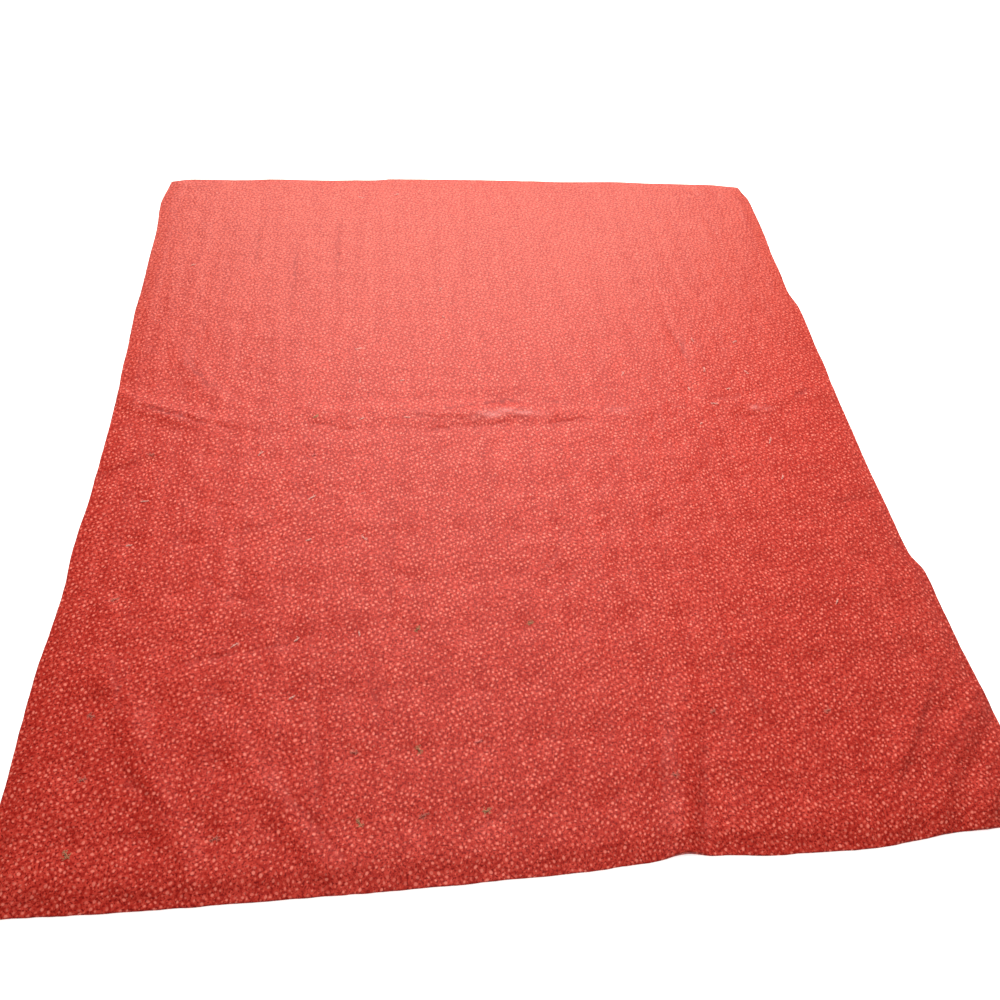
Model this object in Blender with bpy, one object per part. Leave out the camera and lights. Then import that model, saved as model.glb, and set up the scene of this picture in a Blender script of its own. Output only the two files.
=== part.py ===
"""A tied quilt spread out flat, printed backing up: one quilted cloth and the thread ties that show on it.

Metres, +Z up. The origin is on the surface it lies on, under the middle of the cloth. +Y runs along its
length and +X across its width. The cloth is tied through at the corners of a grid of squares, so it is thin
at each tie and puffed around them in long rolls. It is uneven: the tie columns drift, the edges wave and a
few soft folds stand up.
"""

import math
from collections import namedtuple

import bmesh
import bpy
from mathutils import Vector
from mathutils.bvhtree import BVHTree

MM = 0.001

# The cloth as it was cut and tied.
HALF_WIDTH = 0.915
FAR_EDGE = 1.018
NEAR_EDGE = -1.016
SQUARE_ACROSS = 0.1147
SQUARE_ALONG = 0.1164
TIE_COLUMNS = 7
TIE_ROWS = 8
MIDDLE_ROW_Y = 0.019

# An edge's wave dies away inwards with this power, and the grid keeps straight in this share of the width.
EDGE_PULL = 3
STEADY_MARGIN = 0.125

# Thicknesses of the quilted body.
EDGE_THICK = 2.6 * MM
TIE_THICK = 4.2 * MM
PUFF_THICK = 7.2 * MM
LEAST_THICK = 2.2 * MM
EDGE_RISE = 0.045
DIMPLE_RADIUS = 0.030
VALLEY_DEPTH = 0.30
VALLEY_WIDTH = 0.018
UNEVEN_PUFF = 0.14
UNEVEN_STEP_ACROSS = 2.3
UNEVEN_STEP_ALONG = 1.7

# The mesh: cells in one square of the tie grid, and cells in the margins outside it.
CELLS = 4
SIDE_MARGIN_CELLS = 4
FAR_MARGIN_CELLS = 3
NEAR_MARGIN_CELLS = 4

# The thread ties.
SEAT_GAP = 0.3 * MM
THREAD_HALF = 1.3 * MM
KNOT_HALF = 2.8 * MM
KNOT_LONG = 6.0 * MM
KNOT_SHOULDER = 0.45
STRAND_TALL = 1.3
STRAND_TOP = 0.8
TAIL_CURL = 0.5
TAIL_STEPS = 2
ABOVE_CLOTH = 1.0

# How far an edge stands out past its straight line, at places along it.
EdgeWave = namedtuple("EdgeWave", "along out_mm")
LEFT_EDGE = (
    EdgeWave(1.02, 2), EdgeWave(0.90, 14), EdgeWave(0.72, 5), EdgeWave(0.45, 3), EdgeWave(0.24, -3),
    EdgeWave(0.08, -10), EdgeWave(-0.20, -9), EdgeWave(-0.33, -4), EdgeWave(-0.42, -7), EdgeWave(-0.64, 4),
    EdgeWave(-0.82, 2), EdgeWave(-1.02, -6),
)
RIGHT_EDGE = (
    EdgeWave(1.02, -3), EdgeWave(0.93, 12), EdgeWave(0.80, 11), EdgeWave(0.60, 2), EdgeWave(0.48, -3),
    EdgeWave(0.39, 8), EdgeWave(0.20, 1), EdgeWave(0.02, -8), EdgeWave(-0.25, -14), EdgeWave(-0.43, -14),
    EdgeWave(-0.49, 4), EdgeWave(-0.66, 2), EdgeWave(-0.82, 5), EdgeWave(-1.02, -4),
)
FAR_SIDE = (
    EdgeWave(-0.92, -14), EdgeWave(-0.85, -2), EdgeWave(-0.72, -4), EdgeWave(-0.60, 2), EdgeWave(-0.45, -1),
    EdgeWave(-0.31, 2), EdgeWave(-0.23, 11), EdgeWave(0.05, 10), EdgeWave(0.20, 7), EdgeWave(0.30, 3),
    EdgeWave(0.48, 6), EdgeWave(0.64, -1), EdgeWave(0.80, -5), EdgeWave(0.92, -18),
)
NEAR_SIDE = (
    EdgeWave(-0.92, -8), EdgeWave(-0.62, 1), EdgeWave(-0.25, 5), EdgeWave(0.06, 4), EdgeWave(0.16, -1),
    EdgeWave(0.24, -10), EdgeWave(0.29, -2), EdgeWave(0.42, 6), EdgeWave(0.57, 10), EdgeWave(0.76, -4),
    EdgeWave(0.92, -6),
)

# Folds that stand up or sink in. A row is a place on a fold's line, its rise there and its half width.
Fold = namedtuple("Fold", "x y rise_mm half_width_mm")
FOLDS = {
    "middle ridge, left": (
        Fold(-0.905, 0.100, 3.5, 45), Fold(-0.780, 0.030, 4.0, 45), Fold(-0.640, 0.005, 2.0, 40),
        Fold(-0.480, 0.030, 1.5, 45), Fold(-0.320, 0.025, 1.8, 45), Fold(-0.180, 0.020, 2.0, 42),
        Fold(-0.060, 0.018, 5.5, 45), Fold(0.020, 0.018, 6.5, 48), Fold(0.100, 0.015, 3.0, 45),
        Fold(0.220, 0.010, 1.5, 40), Fold(0.300, 0.010, 0.0, 40),
    ),
    "middle ridge, right": (
        Fold(0.260, 0.020, 0.0, 40), Fold(0.370, 0.015, 2.4, 45), Fold(0.500, 0.018, 1.0, 42),
        Fold(0.590, 0.020, 2.2, 45), Fold(0.690, 0.015, 2.8, 45), Fold(0.790, 0.040, 1.8, 42),
        Fold(0.905, 0.065, 3.5, 45),
    ),
    "valley beyond the ridge": (
        Fold(-0.540, 0.075, 0.0, 36), Fold(-0.240, 0.070, -1.6, 36), Fold(-0.040, 0.068, -2.4, 36),
        Fold(0.120, 0.072, -1.4, 36), Fold(0.300, 0.070, 0.0, 36),
    ),
    "valley before the ridge": (
        Fold(-0.640, -0.040, 0.0, 36), Fold(-0.380, -0.035, -1.4, 36), Fold(-0.060, -0.030, -2.2, 36),
        Fold(0.160, -0.035, -2.2, 36), Fold(0.280, -0.035, 0.0, 36),
    ),
    "fold at the near edge": (
        Fold(0.330, -0.640, 0.0, 40), Fold(0.290, -0.760, 3.5, 42), Fold(0.255, -0.890, 7.0, 44),
        Fold(0.235, -1.030, 9.0, 46),
    ),
    "valley beside it": (
        Fold(0.390, -0.660, 0.0, 34), Fold(0.355, -0.780, -1.6, 36), Fold(0.325, -0.900, -2.4, 38),
        Fold(0.300, -1.030, 0.0, 38),
    ),
    "second near fold": (
        Fold(0.400, -0.540, 0.0, 36), Fold(0.425, -0.660, 2.2, 38), Fold(0.470, -0.800, 2.4, 38),
        Fold(0.490, -0.930, 0.0, 36),
    ),
    "right corner fold, inner": (
        Fold(0.640, -1.000, 2.0, 38), Fold(0.690, -0.880, 3.6, 40), Fold(0.770, -0.790, 3.2, 40),
        Fold(0.860, -0.720, 0.0, 36),
    ),
    "right corner fold, middle": (
        Fold(0.710, -1.000, 2.6, 38), Fold(0.760, -0.920, 4.4, 40), Fold(0.830, -0.840, 4.6, 40),
        Fold(0.915, -0.760, 3.0, 38),
    ),
    "right corner fold, outer": (
        Fold(0.790, -1.010, 3.0, 38), Fold(0.840, -0.950, 4.2, 40), Fold(0.915, -0.860, 3.6, 38),
    ),
    "left corner fold, outer": (
        Fold(-0.830, -0.500, 0.0, 36), Fold(-0.770, -0.640, 2.8, 40), Fold(-0.690, -0.790, 3.4, 40),
        Fold(-0.610, -0.930, 2.2, 38), Fold(-0.560, -1.010, 0.0, 36),
    ),
    "left corner fold, inner": (
        Fold(-0.560, -0.740, 0.0, 36), Fold(-0.470, -0.860, 2.6, 40), Fold(-0.370, -0.980, 2.4, 38),
    ),
    "crease at the left edge": (
        Fold(-0.920, -0.160, -2.6, 36), Fold(-0.850, -0.130, -2.2, 38), Fold(-0.740, -0.095, 0.0, 36),
    ),
    "crease at the right edge": (
        Fold(0.730, -0.300, 0.0, 34), Fold(0.830, -0.290, -2.0, 36), Fold(0.920, -0.275, -2.4, 36),
    ),
    "drag fold above the ridge": (
        Fold(-0.830, 0.330, 0.0, 36), Fold(-0.760, 0.210, 2.4, 40), Fold(-0.680, 0.100, 2.6, 40),
        Fold(-0.620, 0.030, 0.0, 36),
    ),
    "long trough, left": (
        Fold(-0.245, -0.120, 0.0, 34), Fold(-0.250, -0.300, -1.8, 36), Fold(-0.260, -0.480, -1.6, 36),
        Fold(-0.270, -0.620, 0.0, 34),
    ),
    "long trough, right": (
        Fold(0.500, 0.390, 0.0, 34), Fold(0.520, 0.280, -2.0, 36), Fold(0.540, 0.140, 0.0, 34),
    ),
}

# The tie grid leans: tie columns drift sideways in these places.
Drift = namedtuple("Drift", "x y sideways_mm reach_x reach_y")
DRIFTS = (
    Drift(-0.36, -0.22, 17, 0.26, 0.34),
    Drift(-0.20, -0.80, 13, 0.42, 0.32),
    Drift(0.66, -0.14, -11, 0.20, 0.22),
)

# The ties that show: column and row of the grid counted from the middle, how far to the side and ahead of the
# crossing the knot lies, and the heading and length of each tail, from the middle of the knot.
Tie = namedtuple("Tie", "thread column row aside_mm ahead_mm heading_a tail_a_mm heading_b tail_b_mm")
TIES = (
    Tie("white", -2, -8, 4, -27, 35, 10, 190, 7),
    Tie("white", -3, -8, 9, -33, 340, 12, 150, 9),
    Tie("white", -7, -5, 12, -9, 10, 8, 200, 6),
    Tie("white", -1, -4, 3, -9, 60, 9, 250, 8),
    Tie("white", -1, -3, 5, -6, 320, 7, 120, 6),
    Tie("white", -3, -2, 6, -6, 20, 10, 170, 9),
    Tie("white", -3, -1, 6, -5, 70, 7, 260, 7),
    Tie("white", -2, -1, -1, -6, 10, 6, 185, 6),
    Tie("white", -3, 0, 7, -14, 25, 8, 215, 7),
    Tie("white", -2, 0, 3, -14, 340, 9, 160, 7),
    Tie("white", 5, -2, -9, 9, 80, 10, 285, 8),
    Tie("white", 6, -2, -6, 1, 20, 9, 210, 7),
    Tie("white", 5, -1, 0, 11, 75, 11, 240, 7),
    Tie("white", 6, -1, -1, 1, 300, 9, 130, 8),
    Tie("white", 3, -1, 4, 3, 60, 9, 230, 9),
    Tie("white", 4.5, -0.5, 1, 3, 100, 6, 290, 6),
    Tie("white", 5.4, -0.5, 5, 0, 15, 6, 175, 6),
    Tie("white", 5, 0, 1, 8, 345, 10, 170, 9),
    Tie("white", 4.5, 0.5, 8, 1, 30, 6, 220, 6),
    Tie("white", -5, 1, 8, 4, 40, 9, 220, 8),
    Tie("pink", -4, 1, 12, -4, 15, 8, 190, 7),
    Tie("white", -4, 2, 9, -9, 29, 11, 209, 9),
    Tie("pink", -3, 2, 6, -1, 20, 7, 200, 6),
    Tie("white", -7, 2, 8, -4, 0, 9, 180, 8),
    Tie("white", -7, 3, -1, 1, 10, 7, 190, 6),
    Tie("white", -4, 3, 11, -3, 15, 7, 190, 7),
    Tie("white", -3, 3, 10, -2, 304, 10, 124, 9),
    Tie("white", 6, 1, 5, -3, 61, 12, 241, 10),
    Tie("white", 6, 2, 2, 0, 61, 9, 235, 8),
    Tie("white", 6, 5, -5, 16, 55, 7, 228, 6),
    Tie("white", -5, 5, 6, -5, 33, 10, 215, 7),
    Tie("white", -4, 5, 5, 0, 40, 8, 214, 6),
    Tie("white", -4, 6, 5, 0, 27, 7, 205, 6),
    Tie("white", -3, 5, 9, 6, 100, 7, 276, 6),
    Tie("green", -4, 0, 12, -4, 30, 9, 215, 7),
    Tie("grey", -7, 1, 0, 10, 5, 9, 180, 8),
    Tie("grey", -7, 4, -6, -10, 20, 9, 205, 9),
    Tie("grey", -7, 6, 6, -15, 340, 9, 165, 8),
    Tie("grey", -7, 7, 13, -12, 15, 9, 195, 8),
    Tie("green", -7, 8, 11, -15, 310, 10, 130, 9),
    Tie("grey", -5, 8, 11, -4, 10, 10, 200, 9),
    Tie("green", -2, 5, 9, 9, 40, 9, 225, 8),
    Tie("green", 0, 5, 13, 8, 20, 9, 195, 8),
    Tie("grey", -3, 7, 3, 8, 350, 9, 170, 8),
    Tie("green", -2, 7, 3, 5, 300, 10, 120, 9),
    Tie("pink", -1, 7, -3, 11, 15, 9, 190, 7),
    Tie("green", -3, 8, 15, 4, 305, 10, 125, 9),
    Tie("grey", -2, 8, 9, 8, 25, 11, 210, 9),
    Tie("green", -1, 8, 5, 6, 20, 10, 185, 9),
    Tie("grey", 3, 7, 3, 33, 30, 8, 200, 7),
    Tie("grey", 2, 8, 14, 28, 350, 9, 160, 7),
    Tie("grey", 5, 7, 2, 25, 20, 9, 205, 8),
)

CLOTH_COLOUR = (0.50, 0.034, 0.028, 1.0)
THREADS = {
    "white": (0.80, 0.62, 0.60, 1.0),
    "pink": (0.72, 0.30, 0.34, 1.0),
    "green": (0.10, 0.13, 0.07, 1.0),
    "grey": (0.30, 0.20, 0.20, 1.0),
}


def clear_scene():
    """Start from an empty file."""
    for obj in list(bpy.data.objects):
        bpy.data.objects.remove(obj, do_unlink=True)


def smooth_step(t):
    """0 up to 1 with soft ends."""
    t = min(1.0, max(0.0, t))
    return t * t * (3.0 - 2.0 * t)


def along_table(rows, at):
    """The value of an edge table at a place along it, on a smooth curve through its rows."""
    rows = sorted(rows)
    if at <= rows[0].along:
        return rows[0].out_mm * MM
    for low, high in zip(rows, rows[1:]):
        if at <= high.along:
            share = smooth_step((at - low.along) / (high.along - low.along))
            return (low.out_mm + (high.out_mm - low.out_mm) * share) * MM
    return rows[-1].out_mm * MM


def drift(x, y):
    """How far the tie grid has slid sideways at a place."""
    total = 0.0
    for d in DRIFTS:
        away = ((x - d.x) / d.reach_x) ** 2 + ((y - d.y) / d.reach_y) ** 2
        total += d.sideways_mm * MM * math.exp(-away)
    return total


def laid(x, y):
    """Where a point of the flat cut cloth lies: the edges wave and the inside drifts."""
    across = (x + HALF_WIDTH) / (2 * HALF_WIDTH)
    along = (y - NEAR_EDGE) / (FAR_EDGE - NEAR_EDGE)
    left = -along_table(LEFT_EDGE, y)
    right = along_table(RIGHT_EDGE, y)
    near = -along_table(NEAR_SIDE, x)
    far = along_table(FAR_SIDE, x)
    inside = smooth_step(min(across, 1 - across) / STEADY_MARGIN)
    moved_x = x + left * (1 - across) ** EDGE_PULL + right * across ** EDGE_PULL + drift(x, y) * inside
    moved_y = y + near * (1 - along) ** EDGE_PULL + far * along ** EDGE_PULL
    return moved_x, moved_y


def edge_distance(x, y):
    """Distance of a point of the cut cloth from its nearest edge."""
    return min(HALF_WIDTH - abs(x), FAR_EDGE - y, y - NEAR_EDGE)


def fold_rise(x, y):
    """What the folds add to the height at a laid point."""
    total = 0.0
    for points in FOLDS.values():
        strongest = 0.0
        for a, b in zip(points, points[1:]):
            run_x, run_y = b.x - a.x, b.y - a.y
            t = ((x - a.x) * run_x + (y - a.y) * run_y) / (run_x ** 2 + run_y ** 2)
            t = min(1.0, max(0.0, t))
            away = math.hypot(x - a.x - t * run_x, y - a.y - t * run_y)
            half_width = (a.half_width_mm + (b.half_width_mm - a.half_width_mm) * t) * MM
            rise = (a.rise_mm + (b.rise_mm - a.rise_mm) * t) * MM
            height = rise * smooth_step(1 - away / half_width)
            if abs(height) > abs(strongest):
                strongest = height
        total += strongest
    return total


def quilting(x, y):
    """Share of the full puff at a point of the cut cloth.

    It is 0 at a tie. A shallow valley runs along the cloth half way between the tie columns.
    """
    column = x / SQUARE_ACROSS
    row = (MIDDLE_ROW_Y - y) / SQUARE_ALONG
    tie_x = max(-TIE_COLUMNS, min(TIE_COLUMNS, round(column)))
    tie_y = max(-TIE_ROWS, min(TIE_ROWS, round(row)))
    off_x = (column - tie_x) * SQUARE_ACROSS
    off_y = (row - tie_y) * SQUARE_ALONG
    dimple = math.exp(-(off_x ** 2 + off_y ** 2) / DIMPLE_RADIUS ** 2)
    between = (column - math.floor(column) - 0.5) * SQUARE_ACROSS
    valley = VALLEY_DEPTH * math.exp(-(between / VALLEY_WIDTH) ** 2)
    square = UNEVEN_STEP_ACROSS * math.floor(column) + UNEVEN_STEP_ALONG * math.floor(row)
    fullness = 1 - UNEVEN_PUFF * (0.5 + 0.5 * math.sin(square))
    return (1 - dimple) * (1 - valley) * fullness


def cloth_height(x, y):
    """Height of the cloth's upper face over the surface it lies on, at a point of the cut cloth."""
    padded = TIE_THICK + (PUFF_THICK - TIE_THICK) * quilting(x, y)
    body = EDGE_THICK + (padded - EDGE_THICK) * smooth_step(edge_distance(x, y) / EDGE_RISE)
    return max(LEAST_THICK, body + fold_rise(*laid(x, y)))


def spaced(start, end, count):
    """Count places from start up to, but without, end."""
    return [start + (end - start) * i / count for i in range(count)]


def grid_lines():
    """The places of the mesh's lines on the cut cloth. Every tie is on a crossing of two of them."""
    outer_x = TIE_COLUMNS * SQUARE_ACROSS
    first_y = MIDDLE_ROW_Y - TIE_ROWS * SQUARE_ALONG
    last_y = MIDDLE_ROW_Y + TIE_ROWS * SQUARE_ALONG
    xs = spaced(-HALF_WIDTH, -outer_x, SIDE_MARGIN_CELLS)
    xs += spaced(-outer_x, outer_x, 2 * TIE_COLUMNS * CELLS)
    xs += spaced(outer_x, HALF_WIDTH, SIDE_MARGIN_CELLS) + [HALF_WIDTH]
    ys = spaced(NEAR_EDGE, first_y, NEAR_MARGIN_CELLS)
    ys += spaced(first_y, last_y, 2 * TIE_ROWS * CELLS)
    ys += spaced(last_y, FAR_EDGE, FAR_MARGIN_CELLS) + [FAR_EDGE]
    return xs, ys


def outline_middle(xs, ys):
    """Middle of the laid cloth's box, which the origin is put under."""
    rim = [laid(x, y) for x in xs for y in (ys[0], ys[-1])]
    rim += [laid(x, y) for x in (xs[0], xs[-1]) for y in ys]
    wide = [p[0] for p in rim]
    long = [p[1] for p in rim]
    return (min(wide) + max(wide)) / 2, (min(long) + max(long)) / 2


def material(name, colour, roughness):
    """A plain matt finish."""
    mat = bpy.data.materials.new(name)
    mat.use_nodes = True
    shader = mat.node_tree.nodes["Principled BSDF"]
    shader.inputs["Base Color"].default_value = colour
    shader.inputs["Roughness"].default_value = roughness
    shader.inputs["Metallic"].default_value = 0.0
    return mat


def add_object(name, bm, mat):
    """Turn a bmesh into a named object with its material."""
    mesh = bpy.data.meshes.new(name)
    bm.to_mesh(mesh)
    bm.free()
    mesh.materials.append(mat)
    obj = bpy.data.objects.new(name, mesh)
    bpy.context.scene.collection.objects.link(obj)
    return obj


def cloth_mesh(middle):
    """The quilted body: a puffed upper face, a thin rim and one flat underside."""
    xs, ys = grid_lines()
    bm = bmesh.new()
    top = []
    for y in ys:
        line = []
        for x in xs:
            at_x, at_y = laid(x, y)
            line.append(bm.verts.new((at_x - middle[0], at_y - middle[1], cloth_height(x, y))))
        top.append(line)
    for low, high in zip(top, top[1:]):
        for i in range(len(xs) - 1):
            bm.faces.new((low[i], low[i + 1], high[i + 1], high[i]))
    left = [line[0] for line in top]
    right = [line[-1] for line in top]
    rim = top[0][:-1] + right[:-1] + top[-1][:0:-1] + left[:0:-1]
    base = [bm.verts.new((v.co.x, v.co.y, 0.0)) for v in rim]
    for i in range(len(rim)):
        j = (i + 1) % len(rim)
        bm.faces.new((base[i], base[j], rim[j], rim[i]))
    bm.faces.new(base[::-1])
    bmesh.ops.triangulate(bm, faces=bm.faces[:], quad_method="SHORT_EDGE", ngon_method="BEAUTY")
    return bm


def tail(start, heading, length):
    """Stations of a tie's tail from the knot out to its cut end, on a slight curl."""
    points = []
    x, y = start
    for i in range(TAIL_STEPS):
        angle = math.radians(heading) + TAIL_CURL * i / TAIL_STEPS
        x += math.cos(angle) * length / TAIL_STEPS
        y += math.sin(angle) * length / TAIL_STEPS
        points.append((x, y, THREAD_HALF))
    return points


def tie_stations(tie, at):
    """Places and half widths along a tie: cut end, tail, knot, tail, cut end."""
    half_knot = KNOT_LONG / 2
    knot = []
    for heading, share, half in (
        (tie.heading_a, 1, THREAD_HALF), (tie.heading_a, KNOT_SHOULDER, KNOT_HALF),
        (tie.heading_b, KNOT_SHOULDER, KNOT_HALF), (tie.heading_b, 1, THREAD_HALF),
    ):
        angle = math.radians(heading)
        reach = share * half_knot
        knot.append((at[0] + math.cos(angle) * reach, at[1] + math.sin(angle) * reach, half))
    first = tail(knot[0][:2], tie.heading_a, tie.tail_a_mm * MM - half_knot)
    second = tail(knot[-1][:2], tie.heading_b, tie.tail_b_mm * MM - half_knot)
    return first[::-1] + knot + second


def highest_under(cloth, x, y, side, half):
    """The cloth's height under a station, the highest of its middle and its two sides."""
    down = Vector((0, 0, -1))
    heights = []
    for share in (-1.0, 0.0, 1.0):
        start = Vector((x + side[0] * half * share, y + side[1] * half * share, ABOVE_CLOTH))
        hit = cloth.ray_cast(start, down)[0]
        if hit is not None:
            heights.append(hit.z)
    return max(heights)


def tie_mesh(tie, at, cloth):
    """One tie as a four-sided strand that lies on the cloth and swells at its knot."""
    stations = tie_stations(tie, at)
    bm = bmesh.new()
    rings = []
    for i, (x, y, half) in enumerate(stations):
        before = stations[max(0, i - 1)]
        after = stations[min(len(stations) - 1, i + 1)]
        run = Vector((after[0] - before[0], after[1] - before[1], 0)).normalized()
        side = (-run.y, run.x)
        seat = highest_under(cloth, x, y, side, half) + SEAT_GAP
        ring = []
        for across, up in ((-1, 0), (1, 0), (STRAND_TOP, STRAND_TALL), (-STRAND_TOP, STRAND_TALL)):
            out = across * half
            ring.append(bm.verts.new((x + side[0] * out, y + side[1] * out, seat + up * half)))
        rings.append(ring)
    for low, high in zip(rings, rings[1:]):
        for i in range(4):
            j = (i + 1) % 4
            bm.faces.new((low[i], low[j], high[j], high[i]))
    bm.faces.new(rings[0][::-1])
    bm.faces.new(rings[-1])
    bmesh.ops.recalc_face_normals(bm, faces=bm.faces[:])
    bmesh.ops.triangulate(bm, faces=bm.faces[:])
    return bm


def add_ties(cloth, middle):
    """Every tie that shows, each its own object, counted by its thread."""
    finishes = {name: material(name + "_thread", colour, 0.75) for name, colour in THREADS.items()}
    counts = dict.fromkeys(THREADS, 0)
    for tie in TIES:
        counts[tie.thread] += 1
        x, y = laid(tie.column * SQUARE_ACROSS, MIDDLE_ROW_Y - tie.row * SQUARE_ALONG)
        at = (x + tie.aside_mm * MM - middle[0], y + tie.ahead_mm * MM - middle[1])
        name = f"tie_{tie.thread}_{counts[tie.thread]:02d}"
        add_object(name, tie_mesh(tie, at, cloth), finishes[tie.thread])


def build():
    """The whole quilt."""
    clear_scene()
    middle = outline_middle(*grid_lines())
    body = cloth_mesh(middle)
    cloth = BVHTree.FromBMesh(body)
    quilt = add_object("quilt_cloth", body, material("printed_cotton", CLOTH_COLOUR, 0.85))
    quilt.data.shade_smooth()
    quilt.data.set_sharp_from_angle(angle=math.radians(50))
    add_ties(cloth, middle)


build()
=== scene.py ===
# %% [markdown]
# # A tied quilt, spread out with its printed backing up
#
# The real piece is a bed quilt: a backing cloth printed with small dots, a thin cotton filling and a
# front. The layers are turned in together at the edge and tied through with knotted thread at the corners
# of a grid of squares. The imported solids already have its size, outline, puffs and main folds. This
# script dresses them with a finer cloth laid on the same folds, real thread knots, the print, the weave
# and the light of the photograph.

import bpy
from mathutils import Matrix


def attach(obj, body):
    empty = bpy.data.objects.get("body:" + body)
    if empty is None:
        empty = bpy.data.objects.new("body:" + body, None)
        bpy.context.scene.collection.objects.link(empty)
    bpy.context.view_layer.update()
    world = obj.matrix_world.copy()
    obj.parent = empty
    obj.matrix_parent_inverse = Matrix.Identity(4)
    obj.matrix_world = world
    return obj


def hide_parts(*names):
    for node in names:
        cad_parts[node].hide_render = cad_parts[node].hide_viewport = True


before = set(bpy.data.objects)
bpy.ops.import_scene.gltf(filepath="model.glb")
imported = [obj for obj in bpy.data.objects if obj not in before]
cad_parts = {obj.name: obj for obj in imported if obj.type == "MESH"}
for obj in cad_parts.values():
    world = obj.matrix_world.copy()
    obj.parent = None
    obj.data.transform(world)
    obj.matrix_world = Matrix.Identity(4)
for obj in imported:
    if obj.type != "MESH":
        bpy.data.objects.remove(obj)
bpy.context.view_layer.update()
print("packed quilt:", len(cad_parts), "nodes")

# %% [markdown]
# ## Tools and units
#
# Blender counts in metres, but a quilt maker thinks in millimetres, so small sizes below are written as a
# number times MM. NumPy moves all points of the cloth at once, which keeps a mesh of 95,000 points quick
# to build.

# %% Tools and units
import math

import bpy
import numpy as np
from mathutils import Matrix, Vector
from mathutils.bvhtree import BVHTree

MM = 0.001


def smooth_step(t):
    """0 up to 1 with soft ends, for one number or a whole array."""
    t = np.clip(t, 0.0, 1.0)
    return t * t * (3.0 - 2.0 * t)


def soft_spot(x, y, at_x, at_y, reach_x, reach_y):
    """1 at a place, fading to 0 with its own reach in x and in y."""
    return np.exp(-((x - at_x) / reach_x) ** 2 - ((y - at_y) / reach_y) ** 2)


print("units: metres, with MM =", MM)

# %% [markdown]
# ## The cloth as it was cut and tied
#
# Every form below hangs on the flat cloth: a rectangle with a grid of ties. The numbers are those of the
# solid model, because the fine cloth has to lie on the same folds. Points of the flat cloth are called x
# and y, and the place where each point comes to lie is worked out from them.

# %% The cut cloth and its tie grid
HALF_WIDTH = 0.915
FAR_EDGE = 1.018
NEAR_EDGE = -1.016
SQUARE_ACROSS = 0.1147
SQUARE_ALONG = 0.1164
TIE_COLUMNS = 7
TIE_ROWS = 8
MIDDLE_ROW_Y = 0.019
EDGE_PULL = 3
STEADY_MARGIN = 0.125

# How far an edge stands out past its straight line: place along it in metres, and millimetres outwards.
LEFT_EDGE = (
    (1.02, 2), (0.90, 14), (0.72, 5), (0.45, 3), (0.24, -3), (0.08, -10), (-0.20, -9), (-0.33, -4),
    (-0.42, -7), (-0.64, 4), (-0.82, 2), (-1.02, -6),
)
RIGHT_EDGE = (
    (1.02, -3), (0.93, 12), (0.80, 11), (0.60, 2), (0.48, -3), (0.39, 8), (0.20, 1), (0.02, -8),
    (-0.25, -14), (-0.43, -14), (-0.49, 4), (-0.66, 2), (-0.82, 5), (-1.02, -4),
)
FAR_SIDE = (
    (-0.92, -14), (-0.85, -2), (-0.72, -4), (-0.60, 2), (-0.45, -1), (-0.31, 2), (-0.23, 11), (0.05, 10),
    (0.20, 7), (0.30, 3), (0.48, 6), (0.64, -1), (0.80, -5), (0.92, -18),
)
NEAR_SIDE = (
    (-0.92, -8), (-0.62, 1), (-0.25, 5), (0.06, 4), (0.16, -1), (0.24, -10), (0.29, -2), (0.42, 6),
    (0.57, 10), (0.76, -4), (0.92, -6),
)

# Where tie columns drift sideways: x, y, millimetres sideways, reach in x and in y.
DRIFTS = ((-0.36, -0.22, 17, 0.26, 0.34), (-0.20, -0.80, 13, 0.42, 0.32), (0.66, -0.14, -11, 0.20, 0.22))


def along_edge(rows, at):
    """How far an edge stands out at places along it, in metres, on a smooth curve through its rows."""
    rows = sorted(rows)
    places = np.array([row[0] for row in rows])
    outs = np.array([row[1] for row in rows]) * MM
    low = np.clip(np.searchsorted(places, at) - 1, 0, len(rows) - 2)
    share = smooth_step((at - places[low]) / (places[low + 1] - places[low]))
    return outs[low] + (outs[low + 1] - outs[low]) * share


def laid(x, y):
    """Where points of the flat cloth lie: the edges wave and the tie grid drifts."""
    across = (x + HALF_WIDTH) / (2 * HALF_WIDTH)
    along = (y - NEAR_EDGE) / (FAR_EDGE - NEAR_EDGE)
    drift = 0.0
    for at_x, at_y, sideways, reach_x, reach_y in DRIFTS:
        drift = drift + sideways * MM * soft_spot(x, y, at_x, at_y, reach_x, reach_y)
    inside = smooth_step(np.minimum(across, 1 - across) / STEADY_MARGIN)
    left = -along_edge(LEFT_EDGE, y) * (1 - across) ** EDGE_PULL
    right = along_edge(RIGHT_EDGE, y) * across ** EDGE_PULL
    near = -along_edge(NEAR_SIDE, x) * (1 - along) ** EDGE_PULL
    far = along_edge(FAR_SIDE, x) * along ** EDGE_PULL
    return x + left + right + drift * inside, y + near + far


def side_and_end_distance(x, y):
    """Distances of points of the flat cloth from the nearer side and from the nearer end."""
    return HALF_WIDTH - np.abs(x), np.minimum(FAR_EDGE - y, y - NEAR_EDGE)


def edge_distance(x, y):
    """Distance of points of the flat cloth from their nearest edge."""
    return np.minimum(*side_and_end_distance(x, y))


print("cut cloth:", 2 * HALF_WIDTH, "by", round(FAR_EDGE - NEAR_EDGE, 3), "m")

# %% [markdown]
# ## The lines of the fine cloth
#
# The fine cloth is a grid of points. Its lines stand 4 to 9 mm apart, closest along the ridge across the
# middle, which has the sharpest crest, then in the near half, whose creases are seen best. They also
# crowd together at the edge, where the layers are turned in and the cloth rounds over. A denser grid
# everywhere would only cost memory, because anything finer than this is done by the bump in the material.

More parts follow.
